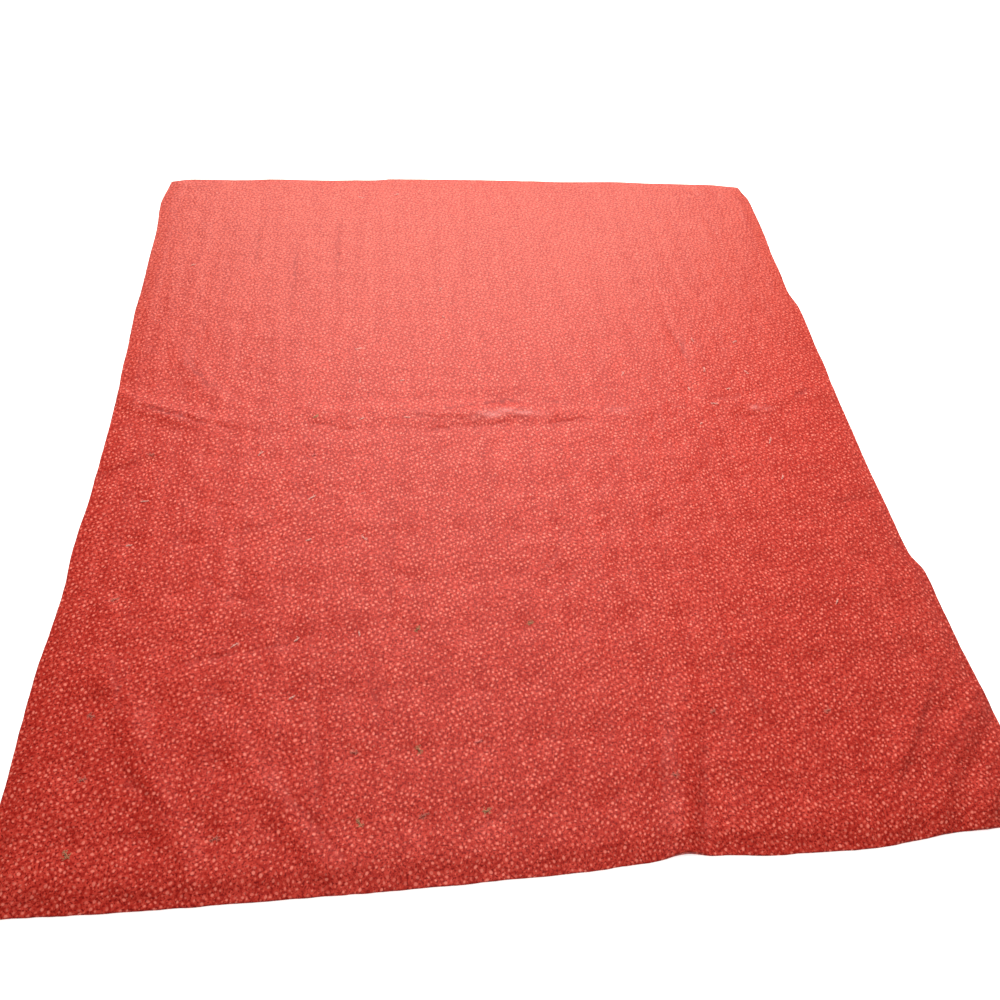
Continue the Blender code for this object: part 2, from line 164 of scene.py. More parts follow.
# %% The lines of the fine cloth
STEP_ACROSS = 6.7 * MM
RIDGE_BAND = (-0.045, 0.085)
STEPS_ALONG = (5.5 * MM, 4.0 * MM, 8.4 * MM)
HEM_STEPS = np.array([0.0, 0.35, 1.0, 2.0, 3.6]) * MM


def grid_lines(low, high, bands, steps):
    """Places of the grid's lines between two edges: one step in each part between the bands' ends."""
    stops = [low + HEM_STEPS[-1], *bands, high - HEM_STEPS[-1]]
    lines = []
    for start, end, step in zip(stops, stops[1:], steps):
        lines.append(np.linspace(start, end, round((end - start) / step), endpoint=False))
    return np.concatenate([low + HEM_STEPS[:-1], *lines, high - HEM_STEPS[::-1]])


x_lines = grid_lines(-HALF_WIDTH, HALF_WIDTH, (), (STEP_ACROSS,))
y_lines = grid_lines(NEAR_EDGE, FAR_EDGE, RIDGE_BAND, STEPS_ALONG)
flat_x, flat_y = np.meshgrid(x_lines, y_lines)
laid_x, laid_y = laid(flat_x, flat_y)
rim_distance = edge_distance(flat_x, flat_y)
middle_x = (laid_x.min() + laid_x.max()) / 2
middle_y = (laid_y.min() + laid_y.max()) / 2
print("fine grid:", len(x_lines), "by", len(y_lines), "lines")
print("middle of the outline:", round(middle_x, 5), round(middle_y, 5))

# %% [markdown]
# ## Soft noise for handmade unevenness
#
# Filling bunches up, cloth creeps and no two squares of a hand-tied quilt puff alike. Noise that changes
# smoothly gives that. This is gradient noise on a lattice of random directions, worked out for all points
# at once. Each use has its own seed, so the quilt is the same every time the script runs.

# %% Soft noise
NOISE_TABLE = 256


def soft_noise(u, v, seed):
    """Smooth noise, mostly between -0.6 and 0.6, at places counted in cells of the noise."""
    turns = np.random.default_rng(seed).uniform(0, 2 * math.pi, (NOISE_TABLE, NOISE_TABLE))
    cell_u, cell_v = np.floor(u).astype(int), np.floor(v).astype(int)
    in_u, in_v = u - cell_u, v - cell_v

    def pull(step_u, step_v):
        turn = turns[(cell_u + step_u) % NOISE_TABLE, (cell_v + step_v) % NOISE_TABLE]
        return np.cos(turn) * (in_u - step_u) + np.sin(turn) * (in_v - step_v)

    ease_u = in_u ** 3 * (in_u * (in_u * 6 - 15) + 10)
    ease_v = in_v ** 3 * (in_v * (in_v * 6 - 15) + 10)
    low = pull(0, 0) + (pull(1, 0) - pull(0, 0)) * ease_u
    high = pull(0, 1) + (pull(1, 1) - pull(0, 1)) * ease_u
    return low + (high - low) * ease_v


def lumps(x, y, size, seed):
    """Soft noise with lumps of one size at points of the cloth."""
    return soft_noise(x / size, y / size, seed)


print("noise sample:", round(float(soft_noise(np.array(0.3), np.array(0.7), 1)), 3))

# %% [markdown]
# ## Puffed squares
#
# Between the ties the filling swells. The height is lowest at a tie, rises in all directions and dips a
# little half way between the columns of ties, where the cloth has been folded in storage. Towards the far
# end the ties are slacker and the squares flatter. Around each tie the cloth is drawn in, so small
# puckers run out from the knot like the rays of a star. They could be painted as bump, but they are 10 mm
# wide and catch the light, so they are real here.

# %% Puffed squares
EDGE_THICK = 2.6 * MM
TIE_THICK = 4.2 * MM
PUFF_THICK = 7.2 * MM
LEAST_THICK = 2.2 * MM
EDGE_RISE = 0.045
DIMPLE_RADIUS = 0.030
VALLEY_DEPTH = 0.30
VALLEY_WIDTH = 0.018
UNEVEN_PUFF = 0.14
LUMP_SIZE = 0.085
LUMP_SEED = 11
FAR_SLACK = 0.60
SLACK_FROM = -0.6
SLACK_RISE = 0.8
PUCKER_HIGH = 0.75 * MM
PUCKER_REACH = 0.034
PUCKER_HEART = 0.008
PUCKER_LEAST = 0.35

# How many rays stand round a tie, how far its own chance turns them, and their strength.
PUCKER_RAYS = ((5, 40, 1.0), (8, -23, 0.7))

# Large uneven numbers that turn a tie's column and row into its own chance.
SCATTER = (12.9898, 78.233, 43758.5453)


def from_tie(x, y):
    """Steps in x and y from the nearest tie of the grid, and that tie's column and row."""
    column = np.clip(np.round(x / SQUARE_ACROSS), -TIE_COLUMNS, TIE_COLUMNS)
    row = np.clip(np.round((MIDDLE_ROW_Y - y) / SQUARE_ALONG), -TIE_ROWS, TIE_ROWS)
    return x - column * SQUARE_ACROSS, y - (MIDDLE_ROW_Y - row * SQUARE_ALONG), column, row


def slack(y):
    """How much of a tie's pull is lost, more towards the far end."""
    return FAR_SLACK * smooth_step((y - SLACK_FROM) / SLACK_RISE)


def puffed(x, y):
    """Height of the padded cloth without its folds."""
    off_x, off_y, _, _ = from_tie(x, y)
    dimple = np.exp(-(off_x ** 2 + off_y ** 2) / DIMPLE_RADIUS ** 2) * (1 - slack(y))
    between = (x / SQUARE_ACROSS - np.floor(x / SQUARE_ACROSS) - 0.5) * SQUARE_ACROSS
    valley = VALLEY_DEPTH * np.exp(-(between / VALLEY_WIDTH) ** 2)
    fullness = 1 - UNEVEN_PUFF * (0.5 + lumps(x, y, LUMP_SIZE, LUMP_SEED))
    padded = TIE_THICK + (PUFF_THICK - TIE_THICK) * (1 - dimple) * (1 - valley) * fullness
    return EDGE_THICK + (padded - EDGE_THICK) * smooth_step(edge_distance(x, y) / EDGE_RISE)


def puckers(x, y):
    """Rays of drawn-in cloth round each tie."""
    off_x, off_y, column, row = from_tie(x, y)
    away = np.hypot(off_x, off_y)
    turn = np.arctan2(off_y, off_x)
    chance = np.sin(column * SCATTER[0] + row * SCATTER[1]) * SCATTER[2]
    chance = chance - np.floor(chance)
    rays = sum(strength * np.sin(turn * count + chance * spin) for count, spin, strength in PUCKER_RAYS)
    fade = np.exp(-(away / PUCKER_REACH) ** 2) * smooth_step(away / PUCKER_HEART)
    high = PUCKER_HIGH * (PUCKER_LEAST + chance) * rays * fade * (1 - slack(y))
    return high / sum(strength for _, _, strength in PUCKER_RAYS)


height = puffed(flat_x, flat_y) + puckers(flat_x, flat_y)
print("puffed squares:", round(height.min() / MM, 2), "to", round(height.max() / MM, 2), "mm high")

# %% [markdown]
# ## Folds and creases
#
# A fold is a line on the cloth with a rise and a half width that change along it. The first table repeats
# the folds of the solid model. The second holds the sharper creases that the photograph shows and that
# are too fine for the solid. Drawing them as lines, place by place, keeps each one where the photograph
# has it.

# %% Folds of the solid model
FOLD_WANDER = 3.0 * MM
FOLD_UNEVEN = 0.18
FOLD_SEED = 41
UNEVEN_SIZE = 0.024
WANDER_SIZE = 0.026

# Each row of a fold: x and y where it lies, its rise and its half width, all in millimetres.
FOLDS = {
    "middle ridge, left": (
        (-905, 100, 3.5, 45), (-780, 30, 4.0, 45), (-640, 5, 2.0, 40), (-480, 30, 1.5, 45),
        (-320, 25, 1.8, 45), (-180, 20, 2.0, 42), (-60, 18, 4.8, 45), (20, 18, 5.8, 48),
        (100, 15, 3.0, 45), (220, 10, 1.5, 40), (300, 10, 0.0, 40),
    ),
    "middle ridge, right": (
        (260, 20, 0.0, 40), (370, 15, 2.4, 45), (500, 18, 1.0, 42), (590, 20, 2.2, 45),
        (690, 15, 2.8, 45), (790, 40, 1.8, 42), (905, 65, 3.5, 45),
    ),
    "valley beyond the ridge": (
        (-540, 75, 0.0, 36), (-240, 70, -1.6, 36), (-40, 68, -2.4, 36), (120, 72, -1.4, 36),
        (300, 70, 0.0, 36),
    ),
    "valley before the ridge": (
        (-640, -40, 0.0, 36), (-380, -35, -1.0, 36), (-60, -30, -1.3, 36), (160, -35, -1.2, 36),
        (280, -35, 0.0, 36),
    ),
    "fold at the near edge": (
        (330, -640, 0.0, 40), (290, -760, 3.5, 42), (255, -890, 7.0, 44), (235, -1030, 9.0, 46),
    ),
    "valley beside it": (
        (390, -660, 0.0, 34), (355, -780, -1.6, 36), (325, -900, -2.4, 38), (300, -1030, 0.0, 38),
    ),
    "second near fold": (
        (400, -540, 0.0, 36), (425, -660, 2.2, 38), (470, -800, 2.4, 38), (490, -930, 0.0, 36),
    ),
    "right corner fold, inner": (
        (640, -1000, 2.0, 38), (690, -880, 3.6, 40), (770, -790, 3.2, 40), (860, -720, 0.0, 36),
    ),
    "right corner fold, middle": (
        (710, -1000, 2.6, 38), (760, -920, 4.4, 40), (830, -840, 4.6, 40), (915, -760, 3.0, 38),
    ),
    "right corner fold, outer": ((790, -1010, 3.0, 38), (840, -950, 4.2, 40), (915, -860, 3.6, 38)),
    "left corner fold, outer": (
        (-830, -500, 0.0, 36), (-770, -640, 2.8, 40), (-690, -790, 3.4, 40), (-610, -930, 2.2, 38),
        (-560, -1010, 0.0, 36),
    ),
    "left corner fold, inner": ((-560, -740, 0.0, 36), (-470, -860, 2.6, 40), (-370, -980, 2.4, 38)),
    "crease at the left edge": ((-920, -160, -2.6, 36), (-850, -130, -2.2, 38), (-740, -95, 0.0, 36)),
    "crease at the right edge": ((730, -300, 0.0, 34), (830, -290, -2.0, 36), (920, -275, -2.4, 36)),
    "drag fold above the ridge": (
        (-830, 330, 0.0, 36), (-760, 210, 2.4, 40), (-680, 100, 2.6, 40), (-620, 30, 0.0, 36),
    ),
    "long trough, left": (
        (-245, -120, 0.0, 34), (-250, -300, -1.8, 36), (-260, -480, -1.6, 36), (-270, -620, 0.0, 34),
    ),
    "long trough, right": ((500, 390, 0.0, 34), (520, 280, -2.0, 36), (540, 140, 0.0, 34)),
}


def along_lines(lines, x, y, wander, uneven, seed, sharp=False):
    """What a table of folds or creases adds to the height at laid points.

    The lines wander sideways by up to about wander, and their rise changes by the share uneven. A sharp
    line has a kink at its middle, a soft one is round there.
    """
    total = np.zeros_like(x)
    strength = 1 + uneven * 2 * lumps(x, y, UNEVEN_SIZE, seed)
    shift = 2 * wander
    x = x + shift * lumps(x, y, WANDER_SIZE, seed + 1)
    y = y + shift * lumps(x, y, WANDER_SIZE, seed + 2)
    for rows in lines.values():
        rows = np.array(rows) * MM
        strongest = np.zeros_like(x)
        for (ax, ay, a_rise, a_half), (bx, by, b_rise, b_half) in zip(rows, rows[1:]):
            run_x, run_y = bx - ax, by - ay
            t = np.clip(((x - ax) * run_x + (y - ay) * run_y) / (run_x ** 2 + run_y ** 2), 0.0, 1.0)
            away = np.hypot(x - ax - t * run_x, y - ay - t * run_y)
            near = np.clip(1 - away / (a_half + (b_half - a_half) * t), 0.0, 1.0)
            section = near ** 2 if sharp else smooth_step(near)
            rise = (a_rise + (b_rise - a_rise) * t) * section
            strongest = np.where(np.abs(rise) > np.abs(strongest), rise, strongest)
        total += strongest
    return total * strength


folds = along_lines(FOLDS, laid_x, laid_y, FOLD_WANDER, FOLD_UNEVEN, FOLD_SEED)
print("folds:", len(FOLDS), "of", round(folds.min() / MM, 1), "to", round(folds.max() / MM, 1), "mm")

# %% Sharper creases
CREASE_GAIN = 1.25
CREASE_WANDER = 4.5 * MM
CREASE_UNEVEN = 0.40
CREASE_SEED = 51

# The rows are as in the folds.
CREASES = {
    "beyond the crest, left": (
        (-135, 26, 0.0, 12), (-100, 34, -2.0, 13), (-65, 40, -2.4, 13), (-38, 42, 0.0, 12),
    ),
    "beyond the crest, middle": (
        (-34, 38, 0.0, 12), (-12, 46, -2.4, 13), (30, 51, -2.6, 13), (58, 49, -1.4, 13),
        (84, 46, 0.0, 12),
    ),
    "beyond the crest, right": ((100, 50, 0.0, 12), (160, 46, -1.0, 13), (230, 46, 0.0, 12)),
    "before the crest, far left": (
        (-460, -8, 0.0, 12), (-410, -12, -1.7, 13), (-360, -28, -1.3, 13), (-310, -26, 0.0, 12),
    ),
    "before the crest, left": (
        (-235, 12, 0.0, 12), (-190, 8, -1.5, 13), (-145, 2, -1.3, 13), (-105, 4, 0.0, 12),
    ),
    "before the crest, lower left": (
        (-185, -40, 0.0, 11), (-150, -32, -1.9, 12), (-118, -30, -1.6, 12), (-98, -22, 0.0, 11),
    ),
    "before the crest, middle": (
        (-94, -24, 0.0, 11), (-50, -29, -1.6, 12), (0, -24, -1.2, 12), (32, -14, 0.0, 11),
    ),
    "under the crest": ((32, 0, 0.0, 10), (60, -4, -1.3, 11), (88, 0, 0.0, 10)),
    "before the crest, right": (
        (118, -32, 0.0, 11), (160, -22, -1.4, 12), (210, -12, -1.5, 12), (252, -16, 0.0, 11),
    ),
    "crest kink, left": ((-75, 0, 0.0, 10), (-35, 10, 1.6, 11), (4, 30, 0.0, 10)),
    "crest kink, right": ((20, 12, 0.0, 10), (62, 22, 1.4, 11), (110, 28, 0.0, 10)),
    "before the right crest": ((600, -12, 0.0, 12), (660, -16, -1.3, 13), (720, -10, 0.0, 12)),
    "beyond the right crest": ((520, 50, 0.0, 12), (600, 46, -0.9, 13), (680, 48, 0.0, 12)),
    "slanting crease at the left": (
        (-900, 86, 0.0, 12), (-780, 38, -2.0, 14), (-640, -12, -0.8, 12), (-600, -24, 0.0, 12),
    ),
    "drag line above it": ((-800, 290, 0.0, 12), (-720, 160, -1.4, 14), (-640, 30, 0.0, 12)),
    "left edge nick": ((-912, -148, -2.2, 13), (-840, -116, -1.7, 13), (-778, -92, 0.0, 12)),
    "left crease, upper": ((-580, -314, 0.0, 11), (-525, -296, -1.9, 13), (-468, -278, 0.0, 11)),
    "left crease, middle": ((-635, -474, 0.0, 11), (-575, -468, -1.8, 13), (-515, -466, 0.0, 11)),
    "left crease, lower": (
        (-700, -604, 0.0, 12), (-590, -592, -2.2, 14), (-500, -578, -1.7, 13), (-438, -568, 0.0, 12),
    ),
    "corner crease, outer": ((-792, -545, 0.0, 12), (-762, -640, -1.9, 14), (-726, -745, 0.0, 12)),
    "corner crease, inner": ((-748, -770, 0.0, 12), (-690, -832, -1.9, 14), (-622, -896, 0.0, 12)),
    "near left crease": ((-486, -800, 0.0, 12), (-410, -890, -2.0, 14), (-332, -978, -0.8, 12)),
    "double line, left": ((-322, -545, 0.0, 11), (-292, -680, -1.5, 12), (-262, -815, 0.0, 11)),
    "double line, right": ((-292, -560, 0.0, 11), (-266, -690, -1.3, 12), (-238, -800, 0.0, 11)),
    "long line down": (
        (-248, -185, 0.0, 11), (-254, -330, -1.2, 13), (-258, -460, -1.4, 13), (-260, -560, 0.0, 11),
    ),
    "long line down, lower left": (
        (-420, -425, 0.0, 11), (-404, -620, -1.1, 13), (-390, -820, -1.3, 13), (-380, -980, 0.0, 11),
    ),
    "upper right line": ((508, 345, 0.0, 11), (526, 245, -1.7, 13), (542, 140, 0.0, 11)),
    "notch line": (
        (336, -740, 0.0, 12), (312, -840, -2.4, 15), (288, -930, -3.0, 16), (268, -1020, -2.0, 15),
    ),
    "notch line, left": ((244, -800, 0.0, 11), (226, -880, -1.8, 13), (210, -958, 0.0, 11)),
    "near right line": ((398, -560, 0.0, 11), (424, -690, -1.7, 13), (452, -818, 0.0, 11)),
    "near right line, outer": ((488, -640, 0.0, 11), (510, -760, -1.5, 13), (532, -880, 0.0, 11)),
    "right corner line, inner": (
        (640, -965, 0.0, 12), (730, -855, -2.4, 15), (815, -755, -2.2, 15), (898, -664, 0.0, 12),
    ),
    "right corner line, outer": (
        (712, -942, 0.0, 12), (790, -872, -2.2, 15), (860, -812, -2.0, 14), (914, -764, 0.0, 12),
    ),
    "right corner line, tip": ((800, -985, 0.0, 12), (860, -915, -1.9, 14), (912, -850, -0.6, 12)),
    "curl at the right edge": ((776, 32, 0.0, 11), (812, 60, -1.9, 12), (842, 74, 0.0, 11)),
    "right edge line, upper": ((752, -294, 0.0, 11), (828, -286, -2.0, 13), (896, -276, -1.0, 12)),
    "right edge line, lower": ((842, -424, 0.0, 11), (876, -416, -1.8, 12), (908, -410, -1.2, 12)),
    "hook": ((676, -396, 0.0, 11), (716, -428, -1.9, 12), (742, -476, 0.0, 11)),
    "soft diagonal": ((36, -476, 0.0, 12), (92, -392, -1.5, 14), (144, -306, 0.0, 12)),
    "near middle crease": ((-160, -952, 0.0, 10), (-82, -922, -1.8, 11), (-10, -888, 0.0, 10)),
    "storage line, outer left": ((-628, 830, 0.0, 11), (-626, 690, -1.3, 12), (-622, 540, 0.0, 11)),
    "storage line, left": ((-518, 730, 0.0, 11), (-515, 570, -1.4, 12), (-514, 400, 0.0, 11)),
    "storage line, inner left": ((-398, 860, 0.0, 11), (-400, 670, -1.4, 12), (-400, 490, 0.0, 11)),
}
creases = CREASE_GAIN * along_lines(
    CREASES, laid_x, laid_y, CREASE_WANDER, CREASE_UNEVEN, CREASE_SEED, sharp=True,
)
print("creases:", len(CREASES), "down to", round(creases.min() / MM, 1), "mm")

# %% [markdown]
# ## Small wrinkles
#
# Washed cotton over soft filling is never smooth. Thousands of short wrinkles lie in it: mostly
# lengthways in the far half, where the quilt was folded, and in all directions in the near half. Each is
# stamped into the height with its own place, heading, length and depth, like a stroke of a blunt tool.
# Plain noise gives round lumps instead, so it only adds the bunched filling underneath.

# %% Small wrinkles
WRINKLES = 3000
WRINKLE_LONG = (0.030, 0.095)
WRINKLE_HALF = (0.0085, 0.0125)
WRINKLE_DEEP = (0.30 * MM, 1.10 * MM)
WRINKLE_BEND = 3.0
WRINKLE_SEED = 2024
VALLEYS_AND_RIDGES = (0.62, 0.38)
LENGTHWAYS_FROM = -0.25
LENGTHWAYS_TO = 0.45
LENGTHWAYS_SPREAD = 0.22

# Bunched filling: the size of its lumps, their height and their seed.
BUNCHES = ((0.055, 1.1 * MM, 21), (0.026, 0.55 * MM, 22))


def stamp_wrinkles(relief):
    """Press short wrinkles into the cloth, lengthways in its far half, any way in its near half."""
    chance = np.random.default_rng(WRINKLE_SEED)
    for _ in range(WRINKLES):
        at_x = chance.uniform(-HALF_WIDTH, HALF_WIDTH)
        at_y = chance.uniform(NEAR_EDGE, FAR_EDGE)
        lengthways = smooth_step((at_y - LENGTHWAYS_FROM) / (LENGTHWAYS_TO - LENGTHWAYS_FROM))
        if chance.random() < lengthways:
            heading = math.pi / 2 + chance.normal(0, LENGTHWAYS_SPREAD)
        else:
            heading = chance.uniform(0, math.pi)
        half_long = chance.uniform(*WRINKLE_LONG) / 2
        half_wide = chance.uniform(*WRINKLE_HALF)
        deep = chance.uniform(*WRINKLE_DEEP) * chance.choice((-1.0, 1.0), p=VALLEYS_AND_RIDGES)
        bend = chance.normal(0, WRINKLE_BEND)
        x_from, x_to = np.searchsorted(x_lines, (at_x - half_long, at_x + half_long))
        y_from, y_to = np.searchsorted(y_lines, (at_y - half_long, at_y + half_long))
        step_x = flat_x[y_from:y_to, x_from:x_to] - at_x
        step_y = flat_y[y_from:y_to, x_from:x_to] - at_y
        along = step_x * math.cos(heading) + step_y * math.sin(heading)
        aside = step_y * math.cos(heading) - step_x * math.sin(heading) + bend * along ** 2
        across = np.clip(1 - np.abs(aside) / half_wide, 0, 1) ** 2
        stroke = across * smooth_step(1 - np.abs(along) / half_long)
        relief[y_from:y_to, x_from:x_to] += deep * stroke
    return relief


wrinkles = stamp_wrinkles(np.zeros_like(flat_x))
for bunch_size, bunch_high, seed in BUNCHES:
    wrinkles += bunch_high * lumps(flat_x, flat_y, bunch_size, seed)
print("wrinkles:", WRINKLES, "strokes, spread", round(wrinkles.std() / MM, 2), "mm")

# %% [markdown]
# ## The turned-in edge
#
# The edge has no binding: backing and front are turned in and sewn to each other, so it ends in a soft
# rounded fold 2.6 mm thick. The grid's outermost lines follow a quarter of an ellipse from the upper face
# down to the middle of the edge. Small waves in and out along it are what slip stitches pull into such a
# hem.

# %% The turned-in edge
HEM_ROUND = 3.4 * MM
HEM_MIDDLE = 1.1 * MM
HEM_WAVE_REACH = 0.020
CORNER_ROUND = 0.008
CORNER_IN = 1.5 * MM
RELIEF_FROM_EDGE = 0.022
THIN_FROM = 0.3 * MM
THIN_FADE = 0.6 * MM

# Length and height of the waves along the hem, and their seeds.
HEM_WAVES = ((0.085, 1.6 * MM, 31), (0.028, 0.9 * MM, 32), (0.011, 0.35 * MM, 33))

# Rows of the noise that the sides and the ends read, far enough apart that no two edges are alike.
SIDE_ROW = 7.5
END_ROW = 3


def hem_waves(x, y):
    """Small shifts in x and y near the edges, and the rounded corners."""
    from_side, from_end = side_and_end_distance(x, y)
    near_side = np.exp(-from_side / HEM_WAVE_REACH)
    near_end = np.exp(-from_end / HEM_WAVE_REACH)
    shift_x, shift_y = 0.0, 0.0
    for wave_long, wave_high, seed in HEM_WAVES:
        side_wave = soft_noise(y / wave_long, np.sign(x) * SIDE_ROW, seed)
        end_wave = soft_noise(x / wave_long, np.sign(y) * SIDE_ROW + END_ROW, seed)
        shift_x = shift_x + wave_high * side_wave * near_side
        shift_y = shift_y + wave_high * end_wave * near_end
    drawn_in = CORNER_IN * np.exp(-(np.hypot(from_side, from_end) / CORNER_ROUND) ** 2)
    return shift_x - np.sign(x) * drawn_in, shift_y - np.sign(y) * drawn_in


def rounded_hem(z, x, y):
    """The upper face let down to the middle of the edge on a rounded hem."""
    share = np.clip(edge_distance(x, y) / HEM_ROUND, 0.0, 1.0)
    return HEM_MIDDLE + (z - HEM_MIDDLE) * np.sqrt(1 - (1 - share) ** 2)


def placed(x, y):
    """Where points of the flat cloth lie in the row frame, seen from above."""
    there_x, there_y = laid(x, y)
    shift_x, shift_y = hem_waves(x, y)
    return there_x + shift_x - middle_x, there_y + shift_y - middle_y


relief = height + folds + (creases + wrinkles) * smooth_step(rim_distance / RELIEF_FROM_EDGE)
thin = LEAST_THICK + THIN_FROM
kept_thick = thin - (thin - LEAST_THICK) * (1 - np.exp((relief - thin) / THIN_FADE))
relief = np.where(relief < thin, kept_thick, relief)
top_z = rounded_hem(relief, flat_x, flat_y)
top_x, top_y = placed(flat_x, flat_y)
print("upper face:", round(top_z.min() / MM, 2), "to", round(top_z.max() / MM, 2), "mm high")

# %% [markdown]
# ## One closed cloth
#
# The cloth is one closed mesh: the upper face, two rings that carry the hem under, and one flat face to
# rest on. A single face with Solidify would be quicker, but the padded quilt is thick in the middle and
# thin at its edge, so both faces are given here. Each corner keeps its place on the flat cloth as a
# texture coordinate in metres, so the print stays the same size everywhere and bends with the folds.

# %% One closed cloth
CUT_PLACE = "cut_place"
WORN_AND_LIT = "worn_and_lit"
CREASE_SHADE_MASK = "crease_shade"
CREASE_FULL = 1.3 * MM

# How far each ring under the hem stands in from the edge, and its height.
UNDER_RINGS = ((0.3 * MM, 0.35 * MM), (1.1 * MM, 0.0))

# Where the crest is rubbed pale and carries a painted highlight: x, y, reach in x and y, strength.
WORN_AND_LIT_CRESTS = (
    (-0.010, 0.006, 0.030, 0.010, 0.95), (0.028, 0.016, 0.022, 0.008, 0.75),
    (0.068, 0.010, 0.032, 0.010, 0.70), (-0.050, -0.002, 0.016, 0.008, 0.45),
    (0.110, 0.006, 0.020, 0.009, 0.30), (0.310, 0.012, 0.030, 0.014, 0.25),
    (0.668, 0.009, 0.014, 0.008, 0.65), (0.700, 0.004, 0.020, 0.008, 0.30),
    (-0.190, 0.022, 0.030, 0.008, 0.15),
)


def rim_order(rows, columns):
    """Row and column of the grid's outer points, once round, counted against the clock from above."""
    low = [(0, i) for i in range(columns - 1)]
    right = [(j, columns - 1) for j in range(rows - 1)]
    high = [(rows - 1, i) for i in range(columns - 1, 0, -1)]
    left = [(j, 0) for j in range(rows - 1, 0, -1)]
    return np.array(low + right + high + left)


def quads_between(left, right):
    """The faces between lines of points: number of each point and of the one to its right."""
    return np.stack([left[:-1], right[:-1], right[1:], left[1:]], axis=-1).reshape(-1, 4)


def cloth_points():
    """All points of the closed cloth, their places on the flat cloth, and its faces."""
    rows, columns = flat_x.shape
    number = np.arange(rows * columns).reshape(rows, columns)
    quads = quads_between(number[:, :-1], number[:, 1:])
    points = [np.stack([top_x, top_y, top_z], axis=-1).reshape(-1, 3)]
    cut = [np.stack([flat_x, flat_y], axis=-1).reshape(-1, 2)]
    rim = rim_order(rows, columns)
    rim_x, rim_y = flat_x[rim[:, 0], rim[:, 1]], flat_y[rim[:, 0], rim[:, 1]]
    outer = number[rim[:, 0], rim[:, 1]]
    sides = []
    for inset, ring_z in UNDER_RINGS:
        ring_x = np.clip(rim_x, -HALF_WIDTH + inset, HALF_WIDTH - inset)
        ring_y = np.clip(rim_y, NEAR_EDGE + inset, FAR_EDGE - inset)
        there_x, there_y = placed(ring_x, ring_y)
        first = sum(len(p) for p in points)
        points.append(np.stack([there_x, there_y, np.full_like(there_x, ring_z)], axis=-1))
        cut.append(np.stack([ring_x, ring_y], axis=-1))
        inner = first + np.arange(len(rim))
        sides.append(np.stack([inner, np.roll(inner, -1), np.roll(outer, -1), outer], axis=-1))
        outer = inner
    faces = np.concatenate([quads, *sides]).tolist()
    faces.append(outer[::-1].tolist())
    return np.concatenate(points), np.concatenate(cut), faces


def worn_and_lit_crests(points):
    """How much each point is rubbed pale and given a painted highlight, from 0 to 1."""
    x, y = points[:, 0] + middle_x, points[:, 1] + middle_y
    worn_and_lit = np.zeros(len(points))
    for at_x, at_y, reach_x, reach_y, strength in WORN_AND_LIT_CRESTS:
        worn_and_lit = np.maximum(worn_and_lit, strength * soft_spot(x, y, at_x, at_y, reach_x, reach_y))
    return worn_and_lit


def in_creases(count):
    """How deep each point lies in a crease, from 0 to 1, with 0 for the points under the upper face; it
    sets the painted shade of the creases.
    """
    deep = np.clip(-creases / CREASE_FULL, 0.0, 1.0).ravel()
    return np.concatenate([deep, np.zeros(count - len(deep))])


def new_mesh_object(name, points, faces):
    """A mesh object in the scene, its faces smooth."""
    mesh = bpy.data.meshes.new(name)
    mesh.from_pydata(np.asarray(points).tolist(), [], faces)
    mesh.polygons.foreach_set("use_smooth", np.ones(len(mesh.polygons), dtype=bool))
    obj = bpy.data.objects.new(name, mesh)
    bpy.context.scene.collection.objects.link(obj)
    return obj


points, cut_places, faces = cloth_points()
quilted_cotton = new_mesh_object("quilted_cotton", points, faces)
cloth = quilted_cotton.data
cloth.polygons[len(cloth.polygons) - 1].use_smooth = False
corner_points = np.empty(len(cloth.loops), dtype=np.int32)
cloth.loops.foreach_get("vertex_index", corner_points)
cloth.uv_layers.new(name=CUT_PLACE).data.foreach_set("uv", cut_places[corner_points].ravel())
# The crest's rub and painted highlight is a value at each point.
cloth.attributes.new(WORN_AND_LIT, "FLOAT", "POINT").data.foreach_set("value", worn_and_lit_crests(points))
# Depth in the sharp creases, the mask of their painted shade.
cloth.attributes.new(CREASE_SHADE_MASK, "FLOAT", "POINT").data.foreach_set("value", in_creases(len(points)))
cloth_surface = BVHTree.FromPolygons(points.tolist(), faces)
print("cloth:", len(points), "points,", 2 * (len(faces) - 1) + len(faces[-1]) - 2, "triangles")

# %% [markdown]
# ## Shader helpers
#
# A finish is a graph of small nodes. These helpers add one node, wire a value into a socket and open a
# node group with named sockets. An effect that several finishes share, such as the fibre of cotton, is
# such a group: it is built once and placed in each material with its own values.

# %% Shader helpers
def feed(tree, value, socket):
    """Give a socket a value: a link from another socket, or a plain number or colour."""
    if isinstance(value, bpy.types.NodeSocket):
        tree.links.new(value, socket)
    else:
        socket.default_value = value


def add_node(tree, kind, inputs=None, **settings):
    """A new node with its settings and its inputs, named or counted."""
    node = tree.nodes.new(kind)
    for key, value in settings.items():
        setattr(node, key, value)
    for key, value in (inputs or {}).items():
        feed(tree, value, node.inputs[key])
    return node


def calc(tree, operation, *values):
    """One step of arithmetic, as a node."""
    return add_node(tree, "ShaderNodeMath", dict(enumerate(values)), operation=operation).outputs[0]


def vector_calc(tree, operation, *values):
    """One step of arithmetic on vectors, as a node."""
    inputs = dict(enumerate(values))
    return add_node(tree, "ShaderNodeVectorMath", inputs, operation=operation).outputs[0]


def product(tree, *values):
    """The values multiplied with one another."""
    result = values[0]
    for value in values[1:]:
        result = calc(tree, "MULTIPLY", result, value)
    return result


def noise_at(tree, place, scale, detail, **more):
    """A noise texture at a place: its value and its colour."""
    inputs = {"Vector": place, "Scale": scale, "Detail": detail, **more}
    return add_node(tree, "ShaderNodeTexNoise", inputs).outputs


def ramp(tree, value, start, end, low=0.0, high=1.0):
    """A value spread softly from low to high while the input goes from start to end."""
    inputs = {"Value": value, "From Min": start, "From Max": end, "To Min": low, "To Max": high}
    return add_node(tree, "ShaderNodeMapRange", inputs, interpolation_type="SMOOTHSTEP").outputs["Result"]


